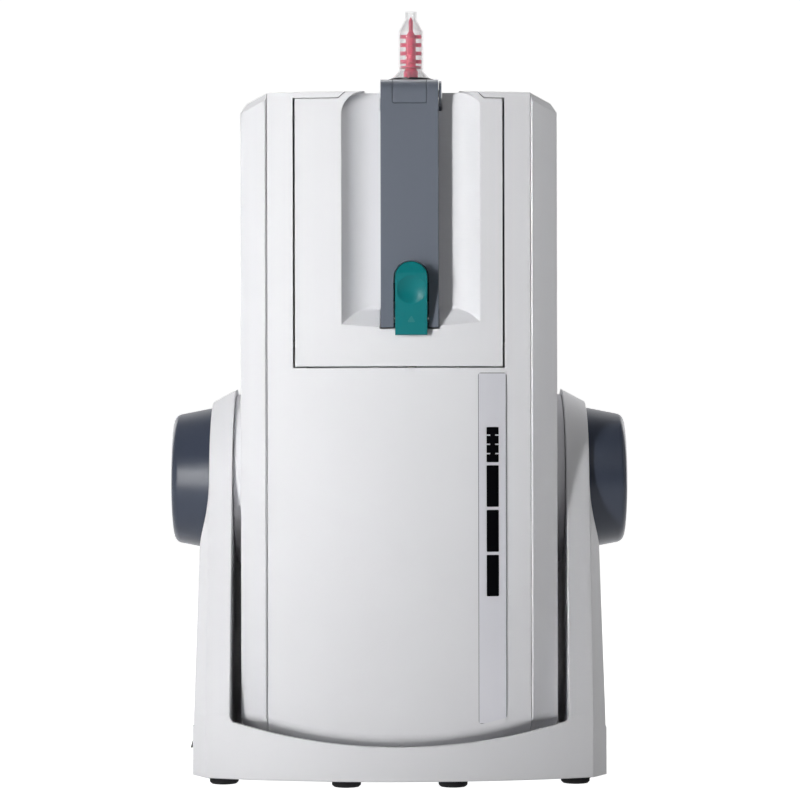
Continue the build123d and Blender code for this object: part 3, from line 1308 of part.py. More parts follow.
def make_plunger_plate():
    """Upper cross plate that guides the rods and takes the plungers' thrust."""
    plate = block(-CHASSIS_X, CHASSIS_X, *CHASSIS_Y, PLUNGER_PLATE_Z, BAY_FLOOR_Z)
    return plate - rod_passages(0, HIGH, ROD_PASSAGE)


def make_shaft_bearings():
    """Bearings of the mixing shaft in both cross plates."""
    wall = BEARING_R - DRIVE_R - RUNNING
    low = DECK_PLATE_Z + PLATE
    return group([
        tube(BEARING_R, wall, low, low + BEARING_L, TIP_X, TIP_Y),
        tube(BEARING_R, wall, PLUNGER_PLATE_Z - BEARING_L, PLUNGER_PLATE_Z, TIP_X, TIP_Y),
    ])


def make_bay_liner():
    """Liner of the cartridge bay: floor, back and two side walls."""
    out, back_y = BAY_X + BAY_WALL, BAY_BACK_Y + BAY_WALL
    floor = block(-BAY_X, BAY_X, BAY_FRONT_Y, BAY_BACK_Y, BAY_FLOOR_Z, BAY_FLOOR_Z + BAY_WALL)
    back = block(-BAY_X, BAY_X, BAY_BACK_Y, back_y, BAY_FLOOR_Z, BAY_TOP)
    walls = both_sides(block(BAY_X, out, BAY_FRONT_Y, back_y, BAY_FLOOR_Z, BAY_TOP))
    rail = block(out, CHASSIS_X, back_y - 2 * RAIL_T, back_y, BAY_TOP - RAIL_DROP,
                 BAY_TOP - RAIL_DROP + RAIL_T)
    return floor + back + walls + both_sides(rail) - rod_passages(0, HIGH, ROD_PASSAGE)


def make_cartridge_seat():
    """Sockets on the bay floor that centre both tubes."""
    z0 = BAY_FLOOR_Z + BAY_WALL
    seat = rod_z(BASE_TUBE_R, z0, TUBE_Z[0], BASE_TUBE_X, CARTRIDGE_Y)
    seat += rod_z(CATALYST_TUBE_R, z0, TUBE_Z[0], CATALYST_TUBE_X, CARTRIDGE_Y)
    return seat - rod_passages(0, HIGH, ROD_PASSAGE)


def make_mix_motor():
    """Electric motor of the mixing shaft, standing on the motor deck."""
    low, high = MOTOR_Z
    radius, height = MOTOR_CAP
    body = rod_z(MOTOR_R, low, high, TIP_X, MOTOR_Y)
    body += rod_z(radius, high, high + height, TIP_X, MOTOR_Y)
    return body - rod_z(DRIVE_R + RUNNING, low - 1, low + RUNNING, TIP_X, MOTOR_Y)


def make_feed_gearbox():
    """Closed gearbox on the cross shaft, hung under the plunger plate."""
    case = block(*GEARBOX_X, *GEARBOX_Y, PIVOT_Z - GEARBOX_DROP, PLUNGER_PLATE_Z)
    case = fillet(case.edges().filter_by(Axis.X), GEARBOX_FILLET)
    return case - rod_x(SHAFT_R + RUNNING, -REACH, REACH)


def make_feed_motor():
    """Motor of the feed gearbox."""
    start = GEARBOX_X[1]
    end = start + FEED_MOTOR_L
    radius, length = FEED_MOTOR_CAP
    body = rod_x(FEED_MOTOR_R, start, end, *FEED_MOTOR_PLACE)
    return body + rod_x(radius, end, end + length, *FEED_MOTOR_PLACE)


def make_power_supply():
    """Enclosed power supply on the plunger plate behind the cartridge bay."""
    case = block(-SUPPLY_X, SUPPLY_X, *SUPPLY_Y, BAY_FLOOR_Z, BAY_FLOOR_Z + SUPPLY_HEIGHT)
    return chamfer(case.edges().filter_by(Axis.X), SUPPLY_CHAMFER)


def make_control_board():
    """Circuit board on spacers with its larger components, behind the power supply."""
    spacer_r, spacer_l = BOARD_SPACER
    back = SUPPLY_Y[1] + spacer_l
    face = back + BOARD_T
    low = BOARD_Z[0]
    board = block(-BOARD_X, BOARD_X, back, face, *BOARD_Z)
    for x in (-BOARD_SPACER_X, BOARD_SPACER_X):
        for rise in BOARD_SPACER_RISE:
            board += rod_y(spacer_r, SUPPLY_Y[1], back, x, low + rise)
    for (x0, x1), height, (z0, z1) in (TRANSFORMER, CONNECTOR):
        board += block(x0, x1, face, face + height, low + z0, low + z1)
    radius, height, rise = CAPACITOR
    for x in CAPACITOR_X:
        board += rod_y(radius, face, face + height, x, low + rise)
    return board


# ================================================================ write one STEP per node
def nodes():
    """All nodes by name."""
    side_cover = make_side_cover()
    wheel = make_hand_wheel()
    trunnion = make_trunnion()
    chassis = make_chassis_plate()
    return {
        "stand_shell": make_stand_shell(),
        "base_plate": make_base_plate(),
        "rubber_feet": make_feet(),
        "base_screws": make_base_screws(),
        "pivot_bushes": make_pivot_bushes(),
        "mains_switch_frame": make_switch_frame(),
        "mains_rocker": make_mains_rocker(),
        "power_inlet": make_power_inlet(),
        "inlet_pins": make_inlet_pins(),
        "side_cover_right": side_cover,
        "side_cover_left": mirror(side_cover, Plane.YZ),
        "front_cover": make_front_cover(),
        "rear_cover": make_rear_cover(),
        "top_cover": make_top_cover(),
        "cover_screws": make_cover_screws(),
        "label_strip": make_label_strip(),
        "level_windows": make_level_windows(),
        "trunnion_right": trunnion,
        "trunnion_left": mirror(trunnion, Plane.YZ),
        "trunnion_clips": make_trunnion_clips(),
        "chassis_plate_right": chassis,
        "chassis_plate_left": mirror(chassis, Plane.YZ),
        "motor_deck": make_motor_deck(),
        "plunger_plate": make_plunger_plate(),
        "shaft_bearings": make_shaft_bearings(),
        "bay_liner": make_bay_liner(),
        "cartridge_seat": make_cartridge_seat(),
        "door_hinge_brackets": make_hinge_brackets(),
        "mixing_motor": make_mix_motor(),
        "drive_belt": make_drive_belt(),
        "feed_gearbox": make_feed_gearbox(),
        "feed_motor": make_feed_motor(),
        "power_supply": make_power_supply(),
        "control_board": make_control_board(),
        "base_cartridge": make_base_cartridge(),
        "catalyst_cartridge": make_catalyst_cartridge(),
        "cartridge_cap": make_cartridge_cap(),
        "tip_collar": make_tip_collar(),
        "mixing_tip_shell": make_tip_shell(),
        "mixing_rotor": make_mixing_rotor(),
        "mixer_drive_shaft": make_drive_shaft(),
        "mixer_pulley": make_mixer_pulley(),
        "motor_pulley": make_motor_pulley(),
        "door_shell": make_door_shell(),
        "door_liner": make_door_liner(),
        "door_hinge_pins": make_hinge_pins(),
        "lever_bracket": make_lever_bracket(),
        "clamp_lever": make_clamp_lever(),
        "lever_cap": make_lever_cap(),
        "lever_pin": make_lever_pin(),
        "start_button": make_start_button(),
        "button_pin": make_button_pin(),
        "start_switch": make_start_switch(),
        "base_plunger": make_piston(BASE_TUBE_X, BASE_TUBE_R),
        "catalyst_plunger": make_piston(CATALYST_TUBE_X, CATALYST_TUBE_R),
        "rack_rod_base": make_rack_rod(BASE_TUBE_X),
        "rack_rod_catalyst": make_rack_rod(CATALYST_TUBE_X),
        "rack_pinions": make_rack_pinions(),
        "cross_shaft": make_cross_shaft(),
        "hand_wheels": group([wheel, mirror(wheel, Plane.YZ)]),
    }


os.makedirs("parts", exist_ok=True)
for name, shape in nodes().items():
    export_step(shape, f"parts/{name}.step")
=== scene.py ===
"""Looks of the dental impression mixer: materials, small surface details, light and camera.

Units are metres, in the frame of the CAD model: +X right, -Y towards the camera, +Z up.
"""
from math import cos, pi, radians, sin

import bmesh
import bpy
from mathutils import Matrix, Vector
from mathutils.bvhtree import BVHTree


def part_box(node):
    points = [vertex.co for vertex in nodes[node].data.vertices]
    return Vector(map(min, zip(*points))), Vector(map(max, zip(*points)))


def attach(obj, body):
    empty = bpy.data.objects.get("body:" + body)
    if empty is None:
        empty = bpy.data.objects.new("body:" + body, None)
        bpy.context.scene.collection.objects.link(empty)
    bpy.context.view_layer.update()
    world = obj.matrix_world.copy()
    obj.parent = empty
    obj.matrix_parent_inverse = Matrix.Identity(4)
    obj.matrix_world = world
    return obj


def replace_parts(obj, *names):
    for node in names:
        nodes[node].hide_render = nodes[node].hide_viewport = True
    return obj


MM = 0.001
MIX_A, MIX_B, MIX_RESULT = 6, 7, 2    # colour sockets of a Mix node
NOISE_RANGE = (0.3, 0.7)              # between these lies most of a noise texture

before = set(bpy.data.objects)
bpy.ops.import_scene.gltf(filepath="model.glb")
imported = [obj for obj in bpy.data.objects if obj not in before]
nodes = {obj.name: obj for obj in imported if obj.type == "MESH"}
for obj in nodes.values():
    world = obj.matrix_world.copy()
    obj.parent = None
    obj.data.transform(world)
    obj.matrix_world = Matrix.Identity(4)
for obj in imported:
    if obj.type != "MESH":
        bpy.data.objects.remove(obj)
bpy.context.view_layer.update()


# ================================================================ camera
CAMERA_PLACE = (0.0005, -1.592, 0.2064)
CAMERA_ROLL = radians(0.11)
PICTURE_PLANE_Y = -0.092     # plane on which the picture's scale was measured
PICTURE_WIDTH = 0.424        # width of that plane that the square picture shows
SENSOR = 36.0


def make_camera():
    """Level camera in front of the object, with the long lens of a product picture."""
    data = bpy.data.cameras.new("camera")
    data.sensor_fit = "HORIZONTAL"
    data.sensor_width = SENSOR
    data.lens = SENSOR * (PICTURE_PLANE_Y - CAMERA_PLACE[1]) / PICTURE_WIDTH
    data.clip_start = 0.05
    data.clip_end = 30.0
    camera = bpy.data.objects.new("camera", data)
    camera.location = CAMERA_PLACE
    camera.rotation_euler = (pi / 2, CAMERA_ROLL, 0.0)
    bpy.context.scene.collection.objects.link(camera)
    bpy.context.scene.camera = camera


# ================================================================ material helpers
def new_material(name):
    """Material with an empty principled shader; returns it with its tree and shader."""
    material = bpy.data.materials.new(name)
    material.use_nodes = True
    tree = material.node_tree
    return material, tree, tree.nodes["Principled BSDF"]


def noise(tree, scale, detail=2.0, stretch=(1.0, 1.0, 1.0)):
    """Noise over the object's own coordinates, with features of about 1/scale metres."""
    coordinates = tree.nodes.new("ShaderNodeTexCoord")
    mapping = tree.nodes.new("ShaderNodeMapping")
    mapping.inputs["Scale"].default_value = stretch
    texture = tree.nodes.new("ShaderNodeTexNoise")
    texture.inputs["Scale"].default_value = scale
    texture.inputs["Detail"].default_value = detail
    tree.links.new(coordinates.outputs["Object"], mapping.inputs["Vector"])
    tree.links.new(mapping.outputs["Vector"], texture.inputs["Vector"])
    return texture.outputs["Fac"]


def shade_between(tree, value, dark, light):
    """Colour that drifts between two close shades with the noise value."""
    node = tree.nodes.new("ShaderNodeMix")
    node.data_type = "RGBA"
    node.inputs[MIX_A].default_value = (*dark, 1.0)
    node.inputs[MIX_B].default_value = (*light, 1.0)
    tree.links.new(value, node.inputs["Factor"])
    return node.outputs[MIX_RESULT]


def maths(tree, operation, first, second):
    """Math node of one operation; the second input is a number or another output."""
    node = tree.nodes.new("ShaderNodeMath")
    node.operation = operation
    tree.links.new(first, node.inputs[0])
    if isinstance(second, float):
        node.inputs[1].default_value = second
    else:
        tree.links.new(second, node.inputs[1])
    return node.outputs[0]


def remap(tree, value, to_low, to_high, from_low=0.0, from_high=1.0):
    """Value moved from one range to another, and held at its ends."""
    node = tree.nodes.new("ShaderNodeMapRange")
    node.inputs["From Min"].default_value = from_low
    node.inputs["From Max"].default_value = from_high
    node.inputs["To Min"].default_value = to_low
    node.inputs["To Max"].default_value = to_high
    tree.links.new(value, node.inputs["Value"])
    return node.outputs["Result"]


def spread(tree, value, low, high):
    """Noise value, which keeps near its middle, stretched to the range from low to high."""
    return remap(tree, value, low, high, *NOISE_RANGE)


def bumps(tree, layers, edge=0.0):
    """Stacked bump nodes, one for each (value, distance in metres, strength).

    The first one starts from edges rounded to the radius "edge".
    """
    normal = None
    if edge:
        rounding = tree.nodes.new("ShaderNodeBevel")
        rounding.samples = 4
        rounding.inputs["Radius"].default_value = edge
        normal = rounding.outputs["Normal"]
    for value, distance, strength in layers:
        node = tree.nodes.new("ShaderNodeBump")
        node.inputs["Distance"].default_value = distance
        node.inputs["Strength"].default_value = strength
        tree.links.new(value, node.inputs["Height"])
        if normal is not None:
            tree.links.new(normal, node.inputs["Normal"])
        normal = node.outputs["Normal"]
    return normal


def moulded_plastic(name, colour, roughness, grain_scale=2600.0, grain_depth=0.00003,
                    drift=0.03, coat=0.0, specular=0.5, edge=0.0):
    """Injection-moulded plastic: spark-eroded grain, slow drift of shade and gloss."""
    material, tree, shader = new_material(name)
    slow = noise(tree, 14.0, 3.0)
    fine = noise(tree, grain_scale, 3.0)
    flow = noise(tree, 45.0, 1.0)
    dark = tuple(c * (1.0 - drift) for c in colour)
    light = tuple(min(1.0, c * (1.0 + drift)) for c in colour)
    tree.links.new(shade_between(tree, slow, dark, light), shader.inputs["Base Color"])
    tree.links.new(spread(tree, fine, roughness - 0.05, roughness + 0.05),
                   shader.inputs["Roughness"])
    tree.links.new(bumps(tree, [(flow, 0.00012, 0.15), (fine, grain_depth, 0.5)], edge),
                   shader.inputs["Normal"])
    shader.inputs["Specular IOR Level"].default_value = specular
    shader.inputs["Coat Weight"].default_value = coat
    shader.inputs["Coat Roughness"].default_value = 0.25
    return material


def metal(name, colour, roughness, stretch=(1.0, 1.0, 1.0), scale=900.0):
    """Bare or plated metal with drawn or rolled marks along one direction."""
    material, tree, shader = new_material(name)
    marks = noise(tree, scale, 4.0, stretch)
    slow = noise(tree, 30.0, 2.0)
    dark = tuple(c * 0.9 for c in colour)
    tree.links.new(shade_between(tree, slow, dark, colour), shader.inputs["Base Color"])
    tree.links.new(spread(tree, marks, roughness - 0.08, roughness + 0.1),
                   shader.inputs["Roughness"])
    tree.links.new(bumps(tree, [(marks, 0.00002, 0.4)]), shader.inputs["Normal"])
    shader.inputs["Metallic"].default_value = 1.0
    return material


def clear_plastic(name, colour, roughness, thin, rim):
    """Thin clear moulding: opacity "thin" where it faces the eye and "rim" at its outline."""
    material, tree, shader = new_material(name)
    slow = noise(tree, 160.0, 2.0)
    tree.links.new(shade_between(tree, slow, tuple(c * 0.97 for c in colour), colour),
                   shader.inputs["Base Color"])
    tree.links.new(spread(tree, slow, roughness, roughness + 0.06),
                   shader.inputs["Roughness"])
    tree.links.new(bumps(tree, [(slow, 0.0002, 0.2)]), shader.inputs["Normal"])
    facing = tree.nodes.new("ShaderNodeLayerWeight")
    facing.inputs["Blend"].default_value = 0.4
    tree.links.new(remap(tree, facing.outputs["Facing"], thin, rim), shader.inputs["Alpha"])
    return material


def dress(material, *names):
    """Gives CAD nodes a material."""
    for name in names:
        mesh = nodes[name].data
        mesh.materials.clear()
        mesh.materials.append(material)


# ================================================================ materials
WHITE = (0.80, 0.80, 0.82)
LEVER_GREY = (0.135, 0.153, 0.19)
WHEEL_GREY = (0.05, 0.06, 0.088)
TEAL = (0.003, 0.175, 0.188)
FILM = (0.80, 0.80, 0.85)
# colour of the painted shade along the outline of the label film
FILM_EDGE_SHADE = (0.28, 0.28, 0.30)
FILM_SHADE_RIM = 0.4 * MM          # width of the painted shade along the outline of the label film


def near_outline(tree, low, high, rim):
    """1 within "rim" of the outline of a box seen from the front, and 0 inside it."""
    coordinates = tree.nodes.new("ShaderNodeTexCoord")
    parts = tree.nodes.new("ShaderNodeSeparateXYZ")
    tree.links.new(coordinates.outputs["Object"], parts.inputs["Vector"])
    sides = []
    for axis, label in ((0, "X"), (2, "Z")):
        away = maths(tree, "SUBTRACT", parts.outputs[label], (low[axis] + high[axis]) / 2)
        size = maths(tree, "ABSOLUTE", away, 0.0)
        sides.append(maths(tree, "GREATER_THAN", size, (high[axis] - low[axis]) / 2 - rim))
    return maths(tree, "MAXIMUM", *sides)


def make_silver_film():
    """Label film: fine silver print under a clear satin layer, with painted shade along its
    outline.
    """
    material, tree, shader = new_material("silver_film")
    sparkle = noise(tree, 5200.0, 1.0)
    slow = noise(tree, 20.0, 2.0)
    low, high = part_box("label_strip")
    # painted shade: the film's whole outline is darkened, standing in for the shade at its
    # edge
    rim = shade_between(tree, near_outline(tree, low, high, FILM_SHADE_RIM), FILM, FILM_EDGE_SHADE)
    film = tree.nodes.new("ShaderNodeMix")
    film.data_type = "RGBA"
    film.blend_type = "MULTIPLY"
    film.inputs["Factor"].default_value = 1.0
    tree.links.new(rim, film.inputs[MIX_A])
    tree.links.new(shade_between(tree, slow, (0.94, 0.94, 0.94), (1.0, 1.0, 1.0)),
                   film.inputs[MIX_B])
    tree.links.new(film.outputs[MIX_RESULT], shader.inputs["Base Color"])
    tree.links.new(spread(tree, sparkle, 0.28, 0.42), shader.inputs["Roughness"])
    tree.links.new(bumps(tree, [(sparkle, 0.00001, 0.3)]), shader.inputs["Normal"])
    shader.inputs["Metallic"].default_value = 0.15
    shader.inputs["Coat Weight"].default_value = 0.3
    shader.inputs["Coat Roughness"].default_value = 0.2
    return material


def make_rubber():
    """Matt black rubber with a pale bloom in patches."""
    material, tree, shader = new_material("rubber")
    bloom = noise(tree, 120.0, 4.0)
    fine = noise(tree, 2400.0, 2.0)
    tree.links.new(shade_between(tree, bloom, (0.012, 0.012, 0.013), (0.026, 0.026, 0.028)),
                   shader.inputs["Base Color"])
    tree.links.new(spread(tree, bloom, 0.65, 0.85), shader.inputs["Roughness"])
    tree.links.new(bumps(tree, [(fine, 0.00008, 0.6)]), shader.inputs["Normal"])
    shader.inputs["Specular IOR Level"].default_value = 0.15
    return material


def make_board_green():
    """Solder mask with the faint relief of its copper tracks."""
    material, tree, shader = new_material("board")
    tracks = noise(tree, 260.0, 0.0, (1.0, 1.0, 4.0))
    tree.links.new(shade_between(tree, tracks, (0.01, 0.10, 0.035), (0.02, 0.19, 0.07)),
                   shader.inputs["Base Color"])
    tree.links.new(spread(tree, tracks, 0.25, 0.45), shader.inputs["Roughness"])
    tree.links.new(bumps(tree, [(tracks, 0.0001, 0.5)]), shader.inputs["Normal"])
    return material


def dress_all():
    """Every CAD node gets its finish."""
    white = moulded_plastic("white_housing", WHITE, 0.5, specular=0.3, edge=0.0006)
    stand_white = moulded_plastic("white_stand", WHITE, 0.5, drift=0.02, specular=0.3,
                                  edge=0.0012)
    grey = moulded_plastic("lever_grey", LEVER_GREY, 0.4, grain_depth=0.00004, drift=0.06,
                           edge=0.0006)
    wheel = moulded_plastic("wheel_grey", WHEEL_GREY, 0.32, drift=0.08, specular=0.28)
    teal = moulded_plastic("teal", TEAL, 0.34, grain_depth=0.00001, drift=0.06,
                           specular=0.2, edge=0.0012)
    black = moulded_plastic("black_plastic", (0.02, 0.02, 0.022), 0.4, drift=0.15)
    window = moulded_plastic("window_black", (0.003, 0.003, 0.004), 0.14,
                             grain_depth=0.000004, drift=0.2, specular=0.06)
    liner = moulded_plastic("liner_grey", (0.55, 0.57, 0.6), 0.5)
    natural = moulded_plastic("natural_plastic", (0.75, 0.75, 0.7), 0.4)
    cartridge = moulded_plastic("cartridge", (0.72, 0.76, 0.8), 0.25, grain_depth=0.00001,
                                coat=0.3)
    cap = moulded_plastic("cartridge_cap", (0.8, 0.8, 0.8), 0.3, grain_depth=0.00001)
    pink = moulded_plastic("rotor_pink", (0.86, 0.05, 0.135), 0.3, grain_depth=0.00001,
                           drift=0.1)
    motor = moulded_plastic("motor_paint", (0.12, 0.12, 0.13), 0.45, 900.0, 0.00006)
    steel = metal("zinc_steel", (0.6, 0.61, 0.62), 0.35)
    turned = metal("turned_steel", (0.62, 0.62, 0.62), 0.22, (1.0, 30.0, 30.0), 120.0)
    sheet = metal("sheet_metal", (0.55, 0.56, 0.57), 0.42, (1.0, 1.0, 12.0), 200.0)
    brass = metal("brass", (0.62, 0.45, 0.2), 0.3)
    clear = clear_plastic("clear_tip", (0.56, 0.56, 0.59), 0.15, 0.11, 0.38)

    dress(white, "side_cover_right", "side_cover_left", "front_cover", "rear_cover",
          "top_cover", "door_shell")
    dress(stand_white, "stand_shell")
    dress(grey, "clamp_lever", "lever_cap", "lever_bracket")
    dress(wheel, "hand_wheels")
    dress(teal, "start_button")
    dress(black, "mains_switch_frame", "mains_rocker", "power_inlet", "tip_collar",
          "start_switch", "motor_pulley", "mixer_pulley")
    dress(window, "level_windows")
    dress(make_silver_film(), "label_strip")
    dress(make_rubber(), "rubber_feet", "drive_belt")
    dress(liner, "door_liner", "bay_liner", "cartridge_seat")
    dress(natural, "pivot_bushes", "shaft_bearings", "base_plunger", "catalyst_plunger")
    dress(cartridge, "base_cartridge", "catalyst_cartridge")
    dress(cap, "cartridge_cap")
    dress(pink, "mixing_rotor")
    dress(motor, "mixing_motor", "feed_motor", "feed_gearbox")
    dress(steel, "base_screws", "cover_screws", "door_hinge_pins", "lever_pin",
          "button_pin", "trunnion_clips", "door_hinge_brackets", "rack_rod_base",
          "rack_rod_catalyst", "rack_pinions")
    dress(turned, "cross_shaft", "mixer_drive_shaft", "trunnion_right", "trunnion_left")
    dress(sheet, "base_plate", "chassis_plate_right", "chassis_plate_left", "motor_deck",
          "plunger_plate", "power_supply")
    dress(brass, "inlet_pins")
    dress(make_board_green(), "control_board")
    dress(clear, "mixing_tip_shell")


# ================================================================ small details
COVER_HEAD = 2.4 * MM        # heights of the screw heads
BASE_HEAD = 1.9 * MM
HEAD_RINGS = 14
HEAD_SECTORS = 48
HEAD_CROWN = 0.22            # fall of a head's rounded edge, in head radii
CROSS_REACH = 0.62           # cross recess, in head radii: length of an arm,
CROSS_HALF = 0.13            # its half width
CROSS_DEPTH = 0.5            # and its depth in the middle
CROSS_RISE = 0.45            # share of that depth lost at an arm's end
PRINT_LIFT = 0.03 * MM       # thickness of the paint on the rocker
RING_R = (0.75 * MM, 1.0 * MM)
RING_STEPS = 40
RING_DROP = 2.6 * MM         # ring's middle under the rocker's upper end
BAR_RISE = 2.9 * MM          # bar's middle over its lower end
BAR_HALF = 0.13 * MM
BAR_STEP = 0.4 * MM          # the bar is four of these long
MARK_Z = 8.0 * MM            # middle of the start mark over the button's lower end
MARK_R = 1.9 * MM            # middle of the mark to its corners
MARK_ROUND = 0.35 * MM       # rounding of its corners
MARK_TURNS = 4               # steps in half a rounded corner
# Growth of the outline and height over the button, from the mark's foot to its top face.
MARK_STEPS = ((0.12 * MM, -0.1 * MM), (0.06 * MM, 0.15 * MM), (-0.06 * MM, 0.22 * MM))


def loose_parts(name):
    """Bounding boxes of the separate solids in a CAD node, as (low, high) corners."""
    mesh = nodes[name].data
    shape = bmesh.new()
    shape.from_mesh(mesh)
    bmesh.ops.remove_doubles(shape, verts=shape.verts, dist=1e-6)
    left = set(shape.verts)
    boxes = []
    while left:
        found, queue = [], [left.pop()]
        while queue:
            vertex = queue.pop()
            found.append(vertex.co.copy())
            for edge in vertex.link_edges:
                other = edge.other_vert(vertex)
                if other in left:
                    left.remove(other)
                    queue.append(other)
        boxes.append((Vector([min(v[k] for v in found) for k in range(3)]),
                      Vector([max(v[k] for v in found) for k in range(3)])))
    shape.free()
    return boxes


def add_piece(name, shape, body, material):
    """Turns a bmesh into an object that rides on a body, with a slot's finish."""
    mesh = bpy.data.meshes.new(name)
    shape.to_mesh(mesh)
    shape.free()
    mesh.materials.append(material)
    piece = bpy.data.objects.new(name, mesh)
    bpy.context.scene.collection.objects.link(piece)
    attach(piece, body)
    return piece


def recess_depth(x, y, radius):
    """Depth of the cross recess of a screw head at a point of its face."""
    reach = CROSS_REACH * radius
    near, far = sorted((abs(x), abs(y)))
    if near > CROSS_HALF * radius or far > reach:
        return 0.0
    return CROSS_DEPTH * radius * (1.0 - CROSS_RISE * far / reach)


def add_screw(shape, place, outward, radius, height, shank, length):
    """Pan-head screw with a cross recess; "place" is the centre of its outer face."""
    turn = Vector((0, 0, 1)).rotation_difference(Vector(outward)).to_matrix()
    profile = []
    for ring in range(1, HEAD_RINGS + 1):
        r = radius * ring / HEAD_RINGS
        profile.append((r, -HEAD_CROWN * radius * (r / radius) ** 4))
    profile += [(radius, -height), (shank, -height), (shank, -height - length)]
    loops = []
    for r, z in profile:
        loop = []
        for sector in range(HEAD_SECTORS):
            angle = 2 * pi * sector / HEAD_SECTORS
            x, y = r * cos(angle), r * sin(angle)
            depth = recess_depth(x, y, radius) if r < radius else 0.0
            loop.append(shape.verts.new(Vector(place) + turn @ Vector((x, y, z - depth))))
        loops.append(loop)
    centre = shape.verts.new(Vector(place) + turn @ Vector((0, 0, -CROSS_DEPTH * radius)))
    end = shape.verts.new(Vector(place) + turn @ Vector((0, 0, -height - length)))
    for sector in range(HEAD_SECTORS):
        following = (sector + 1) % HEAD_SECTORS
        shape.faces.new((centre, loops[0][sector], loops[0][following]))
        shape.faces.new((end, loops[-1][following], loops[-1][sector]))
        for inner, outer in zip(loops, loops[1:]):
            shape.faces.new((inner[sector], outer[sector], outer[following],
                             inner[following]))


def make_screws(node, body, axis, sign, name, steel, head_height):
    """Screws with real heads in the places of a CAD node's screws."""
    shape = bmesh.new()
    outward = [0.0, 0.0, 0.0]
    outward[axis] = sign
    for low, high in loose_parts(node):
        place = (low + high) / 2
        place[axis] = high[axis] if sign > 0 else low[axis]
        side = 0 if axis else 1
        radius = (high[side] - low[side]) / 2
        whole = high[axis] - low[axis]
        add_screw(shape, place, outward, radius, head_height, radius / 2,
                  whole - head_height)
    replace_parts(add_piece(name, shape, body, steel), node)


def node_surface(name):
    """Search tree of a CAD node's surface, for printing and raising marks on it."""
    mesh = nodes[name].data
    return BVHTree.FromPolygons([vertex.co for vertex in mesh.vertices],
                                [face.vertices for face in mesh.polygons])


def surface_x(tree, y, z):
    """X of the first surface met from the left at this Y and Z."""
    return tree.ray_cast(Vector((-0.2, y, z)), Vector((1.0, 0.0, 0.0)))[0].x


def surface_y(tree, x, z):
    """Y of the first surface met from the front at this X and Z."""
    return tree.ray_cast(Vector((x, -0.2, z)), Vector((0.0, 1.0, 0.0)))[0].y


def make_rocker_marks(paint):
    """Off ring and on bar, printed on the two ends of the mains rocker."""
    low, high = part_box("mains_rocker")
    middle_y = (low[1] + high[1]) / 2
    tree = node_surface("mains_rocker")
    shape = bmesh.new()

    def strip(edges, closed):
        """Painted band between two rows of (Y, Z) points, closed or open at its ends."""
        rims = [[shape.verts.new((surface_x(tree, y, z) - PRINT_LIFT, y, z)) for y, z in edge]
                for edge in edges]
        count = len(rims[0])
        for index in range(count if closed else count - 1):
            following = (index + 1) % count
            shape.faces.new((rims[0][index], rims[0][following],
                             rims[1][following], rims[1][index]))

    ring_z = high[2] - RING_DROP
    angles = [2 * pi * step / RING_STEPS for step in range(RING_STEPS)]
    strip([[(middle_y + r * cos(a), ring_z + r * sin(a)) for a in angles] for r in RING_R],
          True)
    heights = [low[2] + BAR_RISE + step * BAR_STEP for step in range(-2, 3)]
    strip([[(middle_y + side, z) for z in heights] for side in (-BAR_HALF, BAR_HALF)], False)
    add_piece("rocker_marks", shape, "mains_key", paint)


def make_start_mark(teal):
    """Raised arrowhead below the dimple of the start button, pointing at the tip."""
    tree = node_surface("start_button")
    low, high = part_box("start_button")
    x0, z0 = (low[0] + high[0]) / 2, low[2] + MARK_Z
    shape = bmesh.new()
    rims = []
    for grow, lift in MARK_STEPS:
        points = []
        for corner in range(3):
            middle = pi / 2 + corner * 2 * pi / 3
            for turn in range(-MARK_TURNS, MARK_TURNS + 1):
                angle = middle + turn * pi / 3 / MARK_TURNS
                x = x0 + (MARK_R - MARK_ROUND) * cos(middle) + (MARK_ROUND + grow) * cos(angle)
                z = z0 + (MARK_R - MARK_ROUND) * sin(middle) + (MARK_ROUND + grow) * sin(angle)
                points.append(shape.verts.new((x, surface_y(tree, x, z) - lift, z)))
        rims.append(points)
    for inner, outer in zip(rims, rims[1:]):
        for index in range(len(inner)):
            following = (index + 1) % len(inner)
            shape.faces.new((inner[index], inner[following], outer[following], outer[index]))
    shape.faces.new(rims[-1])
    add_piece("start_mark", shape, "button", teal)


def make_details():
    """Screw heads, the marks of the mains switch and the mark of the start button."""
    steel = bpy.data.materials["zinc_steel"]
    make_screws("cover_screws", "unit", 1, 1, "cover_screw_heads", steel, COVER_HEAD)
    make_screws("base_screws", "stand", 2, -1, "base_screw_heads", steel, BASE_HEAD)
    make_rocker_marks(moulded_plastic("mark_white", (0.75, 0.75, 0.75), 0.5))
    make_start_mark(bpy.data.materials["teal"])


# ================================================================ stage and light
STAGE_HALF = 4.5             # half width and height of the sweep
STAGE_FRONT = -0.9
BACKDROP_Y = 3.6
SWEEP_R = 0.5                # curve from the floor up into the backdrop
SWEEP_STEPS = 12
STAGE_LIFT = 0.93            # glow that makes the stage look white beside the object
SHADOW_REACH = (0.3, 1.0)    # over these distances the glow rises to full white
WORLD_STRENGTH = 0.03


